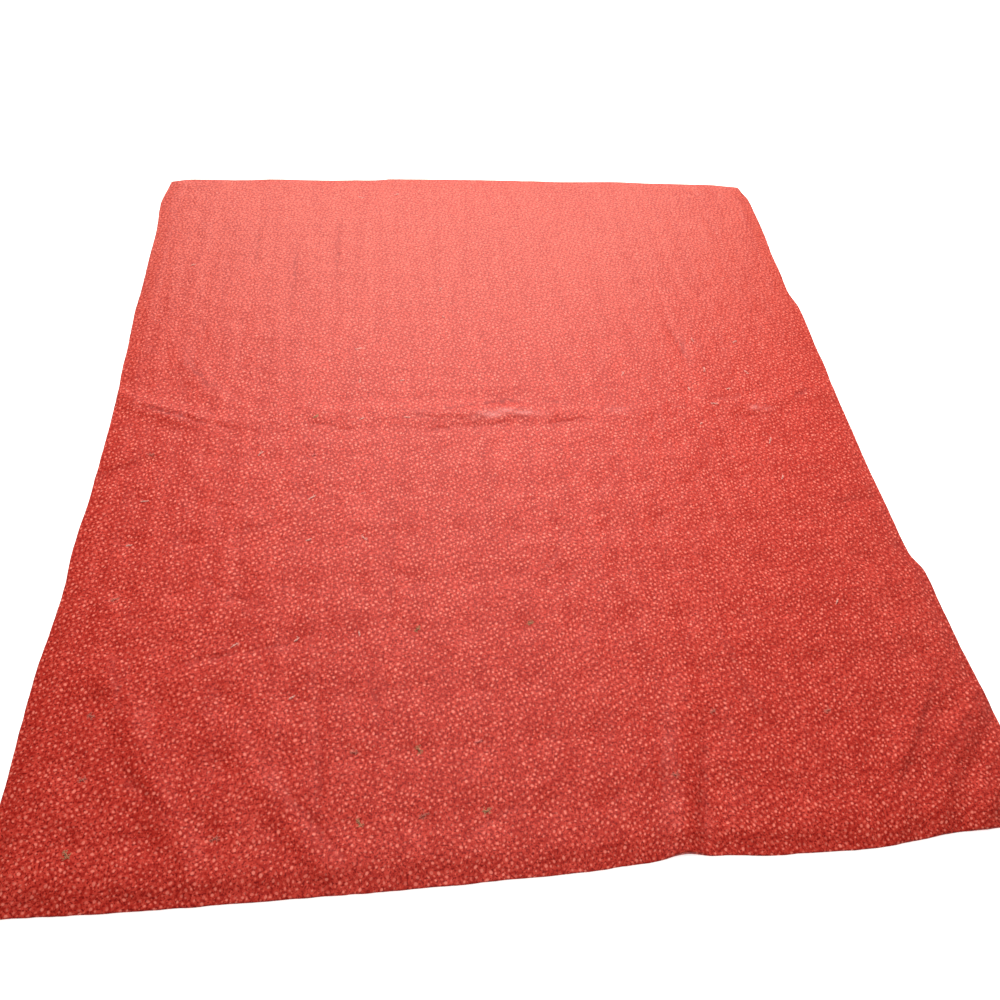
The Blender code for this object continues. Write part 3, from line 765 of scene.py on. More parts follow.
def noise_mask(tree, place, scale, detail, start, end, low=0.0, high=1.0):
    """Noise at a place, spread softly from low to high."""
    return ramp(tree, noise_at(tree, place, scale, detail)[0], start, end, low, high)


def mix_colours(tree, share, first, second):
    """A blend of two colours."""
    node = add_node(tree, "ShaderNodeMix", data_type="RGBA")
    feed(tree, share, node.inputs[0])
    feed(tree, first, node.inputs[6])
    feed(tree, second, node.inputs[7])
    return node.outputs[2]


def new_group(name, inputs, outputs):
    """An empty node group with named sockets: its tree, its inputs and its results."""
    tree = bpy.data.node_groups.new(name, "ShaderNodeTree")
    for socket, kind in inputs.items():
        tree.interface.new_socket(socket, in_out="INPUT", socket_type=kind)
    for socket, kind in outputs.items():
        tree.interface.new_socket(socket, in_out="OUTPUT", socket_type=kind)
    return tree, tree.nodes.new("NodeGroupInput").outputs, tree.nodes.new("NodeGroupOutput").inputs


def place_group(tree, group, **inputs):
    """A node group set into a material, its inputs given by name with _ for a space."""
    node = tree.nodes.new("ShaderNodeGroup")
    node.node_tree = group
    for name, value in inputs.items():
        feed(tree, value, node.inputs[name.replace("_", " ")])
    return node.outputs


NUMBER = "NodeSocketFloat"
VECTOR = "NodeSocketVector"
print("shader helpers ready")

# %% [markdown]
# ## The dot print
#
# The backing is a common dotted cotton: red, with small soft dots 12 mm apart that never quite line up,
# smaller ones between them, and fine specks of darker ink. A Voronoi texture scatters one dot in each of
# its cells, and gives each cell a number by chance, which makes some dots bright and others faint, as
# worn print is. Noise bends the coordinates first, so that the rows wander and no dot is a perfect
# circle. The specks are the peaks of fine noise, and a broken line of darker ink runs half way between
# the dots. An image would show where it repeats.

# %% The dot print
PRINT_TURN = math.radians(20)
PRINT_UNEVEN = 0.62
HALF_GREY = (0.5, 0.5, 0.5)

# Scale of the noise that bends the rows of dots, and how far it bends them, in metres.
PRINT_WARPS = ((25.0, 0.014), (150.0, 0.0010))

# Shift of a set of dots, then least and most size and ink, as shares of the dot's radius and colour.
LARGE_DOTS = (0.0, (0.70, 1.15), (0.35, 1.0))
SMALL_DOTS = (6.0 * MM, (0.40, 0.85), (0.35, 0.95))

# Scale and detail of the noise, then where it starts and where it is full.
DARK_SPECKS = (280.0, 2.0, 0.53, 0.62)
DARK_BREAKS = (130.0, 2.0, 0.40, 0.56)
DARK_LINE = (3.4 * MM, 0.8 * MM)


def dot_print_group():
    """Masks of the large dots, the small dots, the dark specks and the dark lines of a dotted cotton."""
    inputs = {"Place": VECTOR, "Dot Spacing": NUMBER, "Dot Radius": NUMBER, "Soft Edge": NUMBER}
    outputs = {"Large Dots": NUMBER, "Small Dots": NUMBER, "Dark Specks": NUMBER, "Dark Lines": NUMBER}
    tree, given, result = new_group("dot_print", inputs, outputs)
    place, spacing = given["Place"], given["Dot Spacing"]
    turned = {"Vector": place, "Angle": PRINT_TURN}
    bent = add_node(tree, "ShaderNodeVectorRotate", turned, rotation_type="Z_AXIS").outputs[0]
    for scale, reach in PRINT_WARPS:
        shift = vector_calc(tree, "SUBTRACT", noise_at(tree, place, scale, 1.0)["Color"], HALF_GREY)
        bent = vector_calc(tree, "MULTIPLY_ADD", shift, (reach, reach, 0.0), bent)

    def cells(shift, feature):
        """One cell for each dot, moved aside by a shift."""
        cell_inputs = {
            "Vector": vector_calc(tree, "ADD", bent, (shift, shift, 0.0)),
            "Scale": calc(tree, "DIVIDE", 1.0, spacing),
            "Randomness": PRINT_UNEVEN,
        }
        settings = {"voronoi_dimensions": "2D", "feature": feature}
        return add_node(tree, "ShaderNodeTexVoronoi", cell_inputs, **settings).outputs

    def dots(shift, sizes, inks):
        """A mask of dots, each with its own size and ink by chance."""
        cell = cells(shift, "F1")
        away = product(tree, cell["Distance"], spacing)
        chance = add_node(tree, "ShaderNodeSeparateColor", {"Color": cell["Color"]}).outputs
        size = product(tree, given["Dot Radius"], ramp(tree, chance[0], 0.0, 1.0, *sizes))
        outer = calc(tree, "ADD", size, given["Soft Edge"])
        inner = calc(tree, "SUBTRACT", size, given["Soft Edge"])
        return product(tree, ramp(tree, away, outer, inner), ramp(tree, chance[1], 0.0, 1.0, *inks))

    border = product(tree, cells(0.0, "DISTANCE_TO_EDGE")["Distance"], spacing)
    lines = product(tree, ramp(tree, border, *DARK_LINE), noise_mask(tree, place, *DARK_BREAKS))
    feed(tree, dots(*LARGE_DOTS), result["Large Dots"])
    feed(tree, dots(*SMALL_DOTS), result["Small Dots"])
    feed(tree, noise_mask(tree, place, *DARK_SPECKS), result["Dark Specks"])
    feed(tree, lines, result["Dark Lines"])
    return tree


dot_print = dot_print_group()
print("dot print:", len(dot_print.nodes), "nodes")

# %% [markdown]
# ## Plain weave, cotton fibre and fine puckers
#
# Three more effects are shared or stand alone as groups. Plain weave is a chequer of threads that pass
# over and under: the product of two sine waves is just that. Cotton fibre is fine stretched noise, used
# on the cloth and on the threads. Fine puckers are the ripples under 10 mm that quilting leaves, too
# small for the mesh. All give heights in metres, so a Bump node with a distance of 1 tilts the surface by
# the true slope.

# %% Plain weave, cotton fibre and fine puckers
FIBRE_DETAIL = 3.0
FIBRE_ROUGH = 0.65
FIBRE_SHADE = (0.3, 0.7)
RIPPLE_DETAIL = 2.0
RIPPLE_TWIST = 0.6


def plain_weave_group():
    """Height of a plain weave, in metres."""
    inputs = {"Place": VECTOR, "Thread Pitch": NUMBER, "Thread Height": NUMBER}
    tree, given, result = new_group("plain_weave", inputs, {"Height": NUMBER})
    beat = calc(tree, "DIVIDE", math.pi, given["Thread Pitch"])
    place = add_node(tree, "ShaderNodeSeparateXYZ", {0: given["Place"]}).outputs
    weft = calc(tree, "SINE", product(tree, place[0], beat))
    warp = calc(tree, "SINE", product(tree, place[1], beat))
    feed(tree, product(tree, weft, warp, given["Thread Height"]), result["Height"])
    return tree


def cotton_fibre_group():
    """Height and shade of fibres, for cloth and thread alike."""
    inputs = {"Place": VECTOR, "Fibres per Metre": NUMBER, "Fibre Height": NUMBER}
    tree, given, result = new_group("cotton_fibre", inputs, {"Height": NUMBER, "Shade": NUMBER})
    fuzz = noise_at(tree, given["Place"], given["Fibres per Metre"], FIBRE_DETAIL, Roughness=FIBRE_ROUGH)[0]
    feed(tree, product(tree, fuzz, given["Fibre Height"]), result["Height"])
    feed(tree, ramp(tree, fuzz, *FIBRE_SHADE), result["Shade"])
    return tree


def fine_puckers_group():
    """Height of ripples under 10 mm, drawn out in one direction."""
    inputs = {"Place": VECTOR, "Ripple Size": NUMBER, "Ripple Height": NUMBER, "Drawn Out": VECTOR}
    tree, given, result = new_group("fine_puckers", inputs, {"Height": NUMBER})
    stretched = vector_calc(tree, "MULTIPLY", given["Place"], given["Drawn Out"])
    scale = calc(tree, "DIVIDE", 1.0, given["Ripple Size"])
    ripples = noise_at(tree, stretched, scale, RIPPLE_DETAIL, Distortion=RIPPLE_TWIST)[0]
    feed(tree, product(tree, ripples, given["Ripple Height"]), result["Height"])
    return tree


plain_weave = plain_weave_group()
cotton_fibre = cotton_fibre_group()
fine_puckers = fine_puckers_group()
print("groups:", ", ".join(g.name for g in (plain_weave, cotton_fibre, fine_puckers)))

# %% [markdown]
# ## Faded and rubbed cloth, with painted light and shade
#
# Years of washing fade the red unevenly, in clouds. Streaks along the quilt's length are painted light and
# shade of lengthways wrinkles: paler bands with fewer blots. Small blots and thin squiggles of deeper red
# are scattered by noise. A squiggle is drawn where noise crosses its middle value. The crest of the ridge
# is painted pale pink, partly rubbed where the quilt was always folded and partly a painted highlight where
# the crest catches the light. The bottoms of the sharp creases are painted deep red as painted shade. The
# mesh carries the rubbed and lit crests and the depth in the creases as point attributes, and the group
# breaks them up with noise.

# %% Faded and rubbed cloth, with painted light and shade
# Lengthways streaks are painted light and shade of wrinkles: paler bands drawn out along the quilt, with
# fewer blots.
LIT_STREAK_SHAPE = (34.0, 2.6, 1.0)
BLOT_SHAPE = (1.5, 0.8, 1.0)
LIT_STREAK_SHARE = 0.5
LIT_STREAK_THINNING = 0.8
SQUIGGLE_NOISE = (62.0, 2.0)
SQUIGGLE_WIDTH = (0.034, 0.004)

# Scale and detail of each noise, where it starts and where it is full, then the least and most it gives.
LIT_STREAKS = (1.0, 2.0, 0.38, 0.62)
CLOUDS = (7.0, 3.0, 0.3, 0.7, 0.0, 0.5)
BLOTS = (95.0, 3.0, 0.53, 0.65)
RUB_AND_HIGHLIGHT_GRIT = (160.0, 2.0, 0.35, 0.60, 0.45, 1.0)
CREASE_SHADE_GRIT = (75.0, 2.0, 0.42, 0.58, 0.15, 1.0)


def wear_and_light_group():
    """Masks of the uneven fade with its painted lit streaks, of the deep red blots, of the painted shade in
    the creases, and of the rubbed crests with their painted highlight.
    """
    inputs = {"Place": VECTOR, "Rubbed": NUMBER, "Creased": NUMBER}
    outputs = {"Fade": NUMBER, "Blots": NUMBER, "CreaseShade": NUMBER, "Rub": NUMBER}
    tree, given, result = new_group("cloth_wear_and_light", inputs, outputs)
    place = given["Place"]
    drawn = vector_calc(tree, "MULTIPLY", place, LIT_STREAK_SHAPE)
    squeezed = vector_calc(tree, "MULTIPLY", place, BLOT_SHAPE)
    # Painted light and shade of lengthways wrinkles, added to the uneven fade of the clouds.
    lit_streaks = noise_mask(tree, drawn, *LIT_STREAKS)
    fade = calc(tree, "ADD", noise_mask(tree, place, *CLOUDS), product(tree, lit_streaks, LIT_STREAK_SHARE))
    wavy = noise_at(tree, squeezed, *SQUIGGLE_NOISE)[0]
    from_middle = calc(tree, "ABSOLUTE", calc(tree, "SUBTRACT", wavy, 0.5))
    squiggles = ramp(tree, from_middle, *SQUIGGLE_WIDTH)
    blots = calc(tree, "MAXIMUM", noise_mask(tree, squeezed, *BLOTS), squiggles)
    thinned = calc(tree, "SUBTRACT", 1.0, product(tree, lit_streaks, LIT_STREAK_THINNING))
    feed(tree, fade, result["Fade"])
    feed(tree, product(tree, blots, thinned), result["Blots"])
    # Painted shade at the bottoms of the creases, broken up by noise.
    feed(tree, product(tree, given["Creased"], noise_mask(tree, place, *CREASE_SHADE_GRIT)), result["CreaseShade"])
    # Pale pink on the crest, partly rubbed and partly a painted highlight, broken up by noise.
    feed(tree, product(tree, given["Rubbed"], noise_mask(tree, place, *RUB_AND_HIGHLIGHT_GRIT)), result["Rub"])
    return tree


cloth_wear_and_light = wear_and_light_group()
print("wear group:", len(cloth_wear_and_light.nodes), "nodes")

# %% [markdown]
# ## Printed cotton
#
# The finish of the cloth stacks these effects: red ground, fade and painted lit streaks, blots, dark lines,
# specks, dots, the rubbed pink and painted highlight of the crest and the painted shade of the creases for
# the colour, and puckers, weave and fibre for the bump. Towards the far end the ground is painted paler and
# whiter, a painted sheen of the window's low light, and the dots are weaker. From the crest on into the
# far half, the painted shade in the creases is stronger. Smooth backing cotton has a weak broad gloss at
# low angles, where it mirrors the window, and a faint sheen where the light catches its fuzz, so its
# specular level is low and its roughness is in the middle. A loop lays the colours on one after the other,
# each through its own masks.

# %% Printed cotton
GROUND_RED = (0.600, 0.040, 0.024, 1.0)
# Paler red of the uneven fade, and of the painted light in the lengthways streaks.
FADED_AND_LIT_RED = (0.690, 0.060, 0.040, 1.0)
# Painted sheen: the paler, whiter red of the far end, where the window's low light glints.
FAR_SHEEN_RED = (0.660, 0.105, 0.070, 1.0)
BLOT_RED = (0.390, 0.006, 0.002, 1.0)
SPECK_RED = (0.260, 0.003, 0.002, 1.0)
# Painted shade: the deep red at the bottoms of the sharp creases.
CREASE_SHADE_RED = (0.290, 0.010, 0.008, 1.0)
DOT_CORAL = (0.970, 0.230, 0.175, 1.0)
DIM_CORAL = (0.900, 0.140, 0.095, 1.0)
# Partly rubbed wear and partly a painted highlight: the pale pink of the crest.
RUBBED_AND_LIT_PINK = (0.920, 0.360, 0.350, 1.0)
DOT_SPACING = 11.6 * MM
DOT_RADIUS = 2.2 * MM
DOT_SOFT = 1.0 * MM
DARK_LINE_SHARE = 0.80
RUB_AND_HIGHLIGHT_SHARE = 0.6
WEAVE_PITCH = 0.55 * MM
WEAVE_HIGH = 0.03 * MM
CLOTH_FIBRES = 1500.0
CLOTH_FIBRE_HIGH = 0.04 * MM
RIPPLE_SIZE = 9.0 * MM
RIPPLE_HIGH = 1.1 * MM
RIPPLE_SHAPE = (1.0, 0.6, 1.0)

# The least and most roughness, which the fibres spread between them.
COTTON_ROUGH = (0.41, 0.49)
COTTON_GLOSS = 0.22
COTTON_SHEEN = 0.10
SHEEN_ROUGH = 0.45

# Changes along the quilt: y where each starts and where it is full, then its strength before and after.
# The far end's ground is painted paler and whiter: a painted sheen of the window's low light.
FAR_SHEEN = (-0.1, 0.8, 0.0, 0.75)
BLOTTED = (-0.1, 0.8, 0.50, 0.75)
PRINTED = (-0.1, 0.8, 1.0, 0.55)
# Painted shade in the creases, stronger from the crest on into the far half.
CREASE_SHADE_ALONG = (0.0, 0.04, 0.40, 0.90)


def new_finish(name, rough, gloss, sheen):
    """A material with its tree and its shader, whose constants are set on the shader itself."""
    finish = bpy.data.materials.new(name)
    finish.use_nodes = True
    shader = finish.node_tree.nodes["Principled BSDF"]
    shader.inputs["Roughness"].default_value = sum(rough) / 2
    shader.inputs["Specular IOR Level"].default_value = gloss
    shader.inputs["Sheen Weight"].default_value = sheen
    shader.inputs["Sheen Roughness"].default_value = SHEEN_ROUGH
    return finish, finish.node_tree, shader


def wire_finish(tree, shader, colour, shade, rough, high):
    """Wire colour, roughness and bump, in metres, into a shader; the shade of the fibres roughens it."""
    feed(tree, colour, shader.inputs["Base Color"])
    feed(tree, ramp(tree, shade, 0.0, 1.0, *rough), shader.inputs["Roughness"])
    bump = add_node(tree, "ShaderNodeBump", {"Height": high, "Strength": 1.0, "Distance": 1.0})
    feed(tree, bump.outputs[0], shader.inputs["Normal"])


def point_value(tree, name):
    """A value that the mesh carries at each point."""
    node = add_node(tree, "ShaderNodeAttribute", attribute_name=name, attribute_type="GEOMETRY")
    return node.outputs["Fac"]


def printed_cotton_finish():
    """The dotted red backing cloth."""
    finish, tree, shader = new_finish("printed_cotton", COTTON_ROUGH, COTTON_GLOSS, COTTON_SHEEN)
    place = add_node(tree, "ShaderNodeUVMap", uv_map=CUT_PLACE).outputs[0]
    dots = place_group(
        tree, dot_print, Place=place, Dot_Spacing=DOT_SPACING, Dot_Radius=DOT_RADIUS, Soft_Edge=DOT_SOFT,
    )
    wear_and_light = place_group(
        tree, cloth_wear_and_light, Place=place, Rubbed=point_value(tree, WORN_AND_LIT), Creased=point_value(tree, CREASE_SHADE_MASK),
    )
    weave = place_group(tree, plain_weave, Place=place, Thread_Pitch=WEAVE_PITCH, Thread_Height=WEAVE_HIGH)
    fibre = place_group(
        tree, cotton_fibre, Place=place, Fibres_per_Metre=CLOTH_FIBRES, Fibre_Height=CLOTH_FIBRE_HIGH,
    )
    ripples = place_group(
        tree, fine_puckers, Place=place, Ripple_Size=RIPPLE_SIZE, Ripple_Height=RIPPLE_HIGH,
        Drawn_Out=RIPPLE_SHAPE,
    )
    along = add_node(tree, "ShaderNodeSeparateXYZ", {0: place}).outputs[1]
    printed = ramp(tree, along, *PRINTED)
    # Painted light and shade among the layers: the lit streaks in the fade, the sheen of the far end, the
    # highlight on the crest and the shade in the creases.
    layers = (
        ((wear_and_light["Fade"],), FADED_AND_LIT_RED),
        ((ramp(tree, along, *FAR_SHEEN),), FAR_SHEEN_RED),
        ((wear_and_light["Blots"], ramp(tree, along, *BLOTTED)), BLOT_RED),
        ((dots["Dark Lines"], DARK_LINE_SHARE), BLOT_RED),
        ((dots["Dark Specks"],), SPECK_RED),
        ((dots["Small Dots"], printed), DIM_CORAL),
        ((dots["Large Dots"], printed), DOT_CORAL),
        ((wear_and_light["Rub"], RUB_AND_HIGHLIGHT_SHARE), RUBBED_AND_LIT_PINK),
        ((wear_and_light["CreaseShade"], ramp(tree, along, *CREASE_SHADE_ALONG)), CREASE_SHADE_RED),
    )
    colour = GROUND_RED
    for masks, ink in layers:
        colour = mix_colours(tree, product(tree, *masks), colour, ink)
    high = calc(tree, "ADD", calc(tree, "ADD", ripples["Height"], weave["Height"]), fibre["Height"])
    wire_finish(tree, shader, colour, fibre["Shade"], COTTON_ROUGH, high)
    return finish


quilted_cotton.data.materials.append(printed_cotton_finish())
print("printed cotton on", quilted_cotton.name)

# %% [markdown]
# ## Thread ties
#
# A tie is a doubled cotton thread that goes down and up through the quilt, is knotted twice on top and
# cut short. Each knot here is two loops that hook into each other, as in a square knot, and each end runs
# on as a tail on the cloth. White ties lie as straight pairs, while green and grey ones have frayed into
# small tufts. A strand is drawn as a tube along a smooth route. Its section has a bulge for each ply and
# turns as it goes along, which shows the twist without modelling every ply. All ties of a colour are
# joined in one mesh.

# %% The ties that show
# Column and row of the tie grid, millimetres aside and ahead, then the heading in degrees and the length in
# millimetres of each end.
TIES = {
    "white": (
        (-2, -8, 4, -27, 35, 10, 190, 7), (-3, -8, 9, -33, 340, 12, 150, 9),
        (-7, -5, 12, -9, 10, 8, 200, 6), (-1, -4, 3, -9, 60, 9, 250, 8), (-1, -3, 5, -6, 320, 7, 120, 6),
        (-3, -2, 6, -6, 20, 10, 170, 9), (-3, -1, 6, -5, 70, 7, 260, 7), (-2, -1, -1, -6, 10, 6, 185, 6),
        (-3, 0, 7, -14, 25, 8, 215, 7), (-2, 0, 3, -14, 340, 9, 160, 7), (5, -2, -9, 9, 80, 10, 285, 8),
        (6, -2, -6, 1, 20, 9, 210, 7), (5, -1, 0, 11, 75, 11, 240, 7), (6, -1, -1, 1, 300, 9, 130, 8),
        (3, -1, 4, 3, 60, 9, 230, 9), (4.5, -0.5, 1, 3, 100, 6, 290, 6), (5.4, -0.5, 5, 0, 15, 6, 175, 6),
        (5, 0, 1, 8, 345, 10, 170, 9), (4.5, 0.5, 8, 1, 30, 6, 220, 6), (-5, 1, 8, 4, 40, 9, 220, 8),
        (-4, 2, 9, -9, 29, 11, 209, 9), (-7, 2, 8, -4, 0, 9, 180, 8), (-7, 3, -1, 1, 10, 7, 190, 6),
        (-4, 3, 11, -3, 15, 7, 190, 7), (-3, 3, 10, -2, 304, 10, 124, 9), (6, 1, 5, -3, 61, 12, 241, 10),
        (6, 2, 2, 0, 61, 9, 235, 8), (6, 5, -5, 16, 55, 7, 228, 6), (-5, 5, 6, -5, 33, 10, 215, 7),
        (-4, 5, 5, 0, 40, 8, 214, 6), (-4, 6, 5, 0, 27, 7, 205, 6), (-3, 5, 9, 6, 100, 7, 276, 6),
    ),
    "pink": (
        (-4, 1, 12, -4, 15, 8, 190, 7), (-3, 2, 6, -1, 20, 7, 200, 6), (-1, 7, -3, 11, 15, 9, 190, 7),
    ),
    "green": (
        (-4, 0, 12, -4, 30, 9, 215, 7), (-7, 8, 11, -15, 310, 10, 130, 9), (-2, 5, 9, 9, 40, 9, 225, 8),
        (0, 5, 13, 8, 20, 9, 195, 8), (-2, 7, 3, 5, 300, 10, 120, 9), (-3, 8, 15, 4, 305, 10, 125, 9),
        (-1, 8, 5, 6, 20, 10, 185, 9),
    ),
    "grey": (
        (-7, 1, 0, 10, 5, 9, 180, 8), (-7, 4, -6, -10, 20, 9, 205, 9), (-7, 6, 6, -15, 340, 9, 165, 8),
        (-7, 7, 13, -12, 15, 9, 195, 8), (-5, 8, 11, -4, 10, 10, 200, 9), (-3, 7, 3, 8, 350, 9, 170, 8),
        (-2, 8, 9, 8, 25, 11, 210, 9), (3, 7, 3, 33, 30, 8, 200, 7), (2, 8, 14, 28, 350, 9, 160, 7),
        (5, 7, 2, 25, 20, 9, 205, 8),
    ),
}
print("ties that show:", {thread: len(rows) for thread, rows in TIES.items()})

# %% One strand of thread
PLY_BULGE = 0.22
FLATTENED = 0.5
CURVE_STEPS = 12
NEAR_UPRIGHT = (0.12, 0.07, 1.0)


def run_along(line):
    """How far along a line each of its points lies."""
    return np.concatenate([[0], np.cumsum(np.linalg.norm(np.diff(line, axis=0), axis=1))])


def smooth_route(corners, step):
    """Points a step apart on a smooth curve through the corners."""
    corners = np.asarray(corners, dtype=float)
    padded = np.vstack([2 * corners[0] - corners[1], corners, 2 * corners[-1] - corners[-2]])
    t = np.linspace(0, 1, CURVE_STEPS, endpoint=False)[:, None]
    pieces = []
    for a, b, c, d in zip(padded, padded[1:], padded[2:], padded[3:]):
        squared = 2 * a - 5 * b + 4 * c - d
        cubed = 3 * b - a - 3 * c + d
        pieces.append(0.5 * (2 * b + (c - a) * t + squared * t ** 2 + cubed * t ** 3))
    line = np.vstack([*pieces, corners[-1:]])
    run = run_along(line)
    stations = np.linspace(0, run[-1], max(3, round(run[-1] / step)))
    return np.stack([np.interp(stations, run, line[:, i]) for i in range(3)], axis=1)


def carried_sides(route):
    """Directions beside and over a route at each point, turned no more than it bends."""
    ahead = np.gradient(route, axis=0)
    ahead /= np.linalg.norm(ahead, axis=1)[:, None]
    beside = np.cross(ahead[0], NEAR_UPRIGHT)
    sides = []
    for direction in ahead:
        beside = beside - direction * beside.dot(direction)
        beside = beside / np.linalg.norm(beside)
        sides.append(beside)
    sides = np.array(sides)
    return sides, np.cross(ahead, sides)


def strand(route, radii, corners, plies, pitch):
    """Points and faces of a strand along a route, with a bulge for each ply and a turn every pitch."""
    beside, over = carried_sides(route)
    around = np.arange(corners) * 2 * math.pi / corners
    bulge = 1 + (PLY_BULGE if plies > 1 else 0.0) * np.cos(plies * around)
    angle = around[None, :] + (run_along(route) / pitch * 2 * math.pi)[:, None]
    out = radii[:, None] * bulge[None, :]
    wide = (out * np.cos(angle))[..., None] * beside[:, None, :]
    tall = (FLATTENED * out * np.sin(angle))[..., None] * over[:, None, :]
    rings = route[:, None, :] + wide + tall
    number = np.arange(len(route) * corners).reshape(len(route), corners)
    sides = quads_between(number, np.roll(number, -1, axis=1)).tolist()
    return rings.reshape(-1, 3), sides + [number[0, ::-1].tolist(), number[-1].tolist()]


trial_faces = strand(np.eye(3), np.ones(3), 6, 2, 1.0)[1]
print("a strand of 6 corners and 3 rings:", len(trial_faces), "faces")

# %% [markdown]
# ### Knot and tails
#
# The loop of each thread is given by a few points in the knot's own frame, x towards its tail. The second
# thread is the same loop turned by its own tail's heading. Loose ends fan out beside the tails, as cut
# thread does. Rays cast straight down onto the fine cloth tell how high it lies under each point of a
# tail, so that the tails follow every small fold instead of hovering.

# %% Knot and tails
# Places on a thread's way through the knot, in millimetres: x towards the tail, y aside, z above the cloth.
KNOT_LOOP = (
    (2.2, 0.9, -0.9), (1.6, 0.85, 0.5), (0.3, 0.9, 0.7), (-0.9, 0.85, 1.2),
    (-1.5, 0.0, 1.8), (-0.9, -0.85, 1.2), (0.3, -0.9, 0.7), (1.5, -0.7, 0.6),
)

# A tail starts this many millimetres from the knot's middle, curls to one side and arches over the cloth.
TAIL_FROM = 2.6
TAIL_STEPS = 4
TAIL_CURL = 0.22
TAIL_CURL_SPREAD = (0.6, 1.5)
TAIL_ARCH = 0.8

# A loose end strays from its heading, starts lifted by some strand radii and drops to the cloth.
END_SHARES = (0.12, 0.35, 0.6, 0.8, 1.0)
END_STRAY = 0.5
END_LIFT = 1.2
END_DROP = 1.5

# The two strands of a pair part over the last share of its length, and wind flatter than wide.
PARTING_FROM = 0.72
PARTING_LONG = 0.28
PAIR_FLAT = 0.6
DOWN = Vector((0, 0, -1))


def cloth_height_at(x, y):
    """Height of the fine cloth at a place in the row frame."""
    hit = cloth_surface.ray_cast(Vector((x, y, 1.0)), DOWN)[0]
    return hit.z if hit is not None else 0.0


def thread_route(at_x, at_y, heading, length, lift, radius, step, chance):
    """The way of one thread: up out of the cloth, round the knot, and out along its tail."""
    turn = math.radians(heading)
    ahead = np.array([math.cos(turn), math.sin(turn)])
    aside = np.array([-math.sin(turn), math.cos(turn)])
    seat = cloth_height_at(at_x, at_y)
    corners = []
    for x, y, z in KNOT_LOOP:
        spot = (at_x, at_y) + (ahead * x + aside * y) * MM
        corners.append((spot[0], spot[1], seat + z * MM))
    spot = np.array([at_x, at_y]) + ahead * TAIL_FROM * MM
    curl = TAIL_CURL * chance.uniform(*TAIL_CURL_SPREAD) * chance.choice((-1, 1))
    for i in range(TAIL_STEPS):
        share = (i + 1) / TAIL_STEPS
        angle = turn + curl * share
        spot = spot + np.array([math.cos(angle), math.sin(angle)]) * (length - TAIL_FROM) * MM / TAIL_STEPS
        high = cloth_height_at(spot[0], spot[1]) + FLATTENED * radius
        corners.append((spot[0], spot[1], high + lift * math.sin(share * math.pi * TAIL_ARCH)))
    return smooth_route(corners, step)


def loose_end(at_x, at_y, heading, length, radius, step, chance):
    """A cut end that runs straight out of the knot and bends down to the cloth."""
    turn = math.radians(heading)
    corners = []
    for share in END_SHARES:
        angle = turn + END_STRAY * chance.normal() * share
        x = at_x + math.cos(angle) * length * share * MM
        y = at_y + math.sin(angle) * length * share * MM
        lifted = FLATTENED + END_LIFT * (1 - share) ** END_DROP
        corners.append((x, y, cloth_height_at(x, y) + lifted * radius))
    return smooth_route(corners, step)


def doubled(route, gap, turns_apart, spread, chance):
    """Two strands side by side along a route, wound slowly round each other and parted at the cut end."""
    beside, over = carried_sides(route)
    share = np.linspace(0, 1, len(route))
    angle = share * turns_apart * 2 * math.pi + chance.uniform(0, 2 * math.pi)
    parting = smooth_step((share - PARTING_FROM) / PARTING_LONG) * spread
    shift = np.cos(angle)[:, None] * beside + PAIR_FLAT * np.sin(angle)[:, None] * over
    flat = np.stack([beside[:, 0], beside[:, 1], np.zeros(len(route))], axis=1)
    for side in (-1, 1):
        yield route + side * (shift * gap + flat * parting[:, None])


def join(parts):
    """Points and faces of several pieces put in one mesh."""
    points, faces, first = [], [], 0
    for part_points, part_faces in parts:
        points.append(part_points)
        faces += [[corner + first for corner in face] for face in part_faces]
        first += len(part_points)
    return np.concatenate(points), faces


print("knot loop of", len(KNOT_LOOP), "places, tails from", TAIL_FROM, "mm")

# %% The ties of each thread
THREADS = {
    "white": (1.00, 0.54, 0.48, 1.0),
    "pink": (1.00, 0.26, 0.24, 1.0),
    "green": (0.54, 0.27, 0.15, 1.0),
    "grey": (0.66, 0.18, 0.14, 1.0),
    "coral": (0.96, 0.13, 0.09, 1.0),
}
THREAD_FIBRES = 2600.0
THREAD_FIBRE_HIGH = 0.03 * MM
THREAD_ROUGH = (0.72, 0.88)
THREAD_GLOSS = 0.15
THREAD_SHEEN = 0.60
THREAD_SHEEN_TINT = (1.0, 0.55, 0.45, 1.0)
SOILED = (0.85, 0.78, 0.78)
SOIL_NOISE = (260.0, 2.0, 0.35, 0.70, 0.0, 0.5)

# Radius of a strand in millimetres, how far the pair parts at its cut end, and the turns of its loose ends.
TIE_LOOKS = {
    "white": (0.52, 0.5, (12,)),
    "pink": (0.45, 0.6, (-18, 20)),
    "green": (0.42, 0.9, (-38, -16, 14, 40)),
    "grey": (0.40, 0.9, (-45, -20, 18, 42)),
}
STRAND_STEP = 0.65 * MM
STRAND_PITCH = 4.0 * MM
STRAND_CORNERS = 6
STRAND_PLIES = 2

# A strand thins at its cut end. The gap of a pair is in strand radii, lengths are shares of the tail.
CUT_FROM = 0.9
CUT_LONG = 0.1
CUT_THIN = 0.25
PAIR_GAP = 0.95
PAIR_TURNS = 0.7
TAIL_LIFT = 0.2 * MM
FAN_SPREAD = (0.7, 1.3)
LOOSE_LENGTHS = (0.70, 1.0)
LOOSE_LEAST = 2

# The ties near the cloth's colour: scatter and tails in millimetres, the opening of the tails in degrees.
PLAIN_RADIUS = 0.32 * MM
PLAIN_STEP = 1.0 * MM
PLAIN_CORNERS = 5
PLAIN_ASIDE = 4
PLAIN_AHEAD = 6
PLAIN_TAIL = (4, 7)
PLAIN_OPENING = 25
PLAIN_SEED = 77


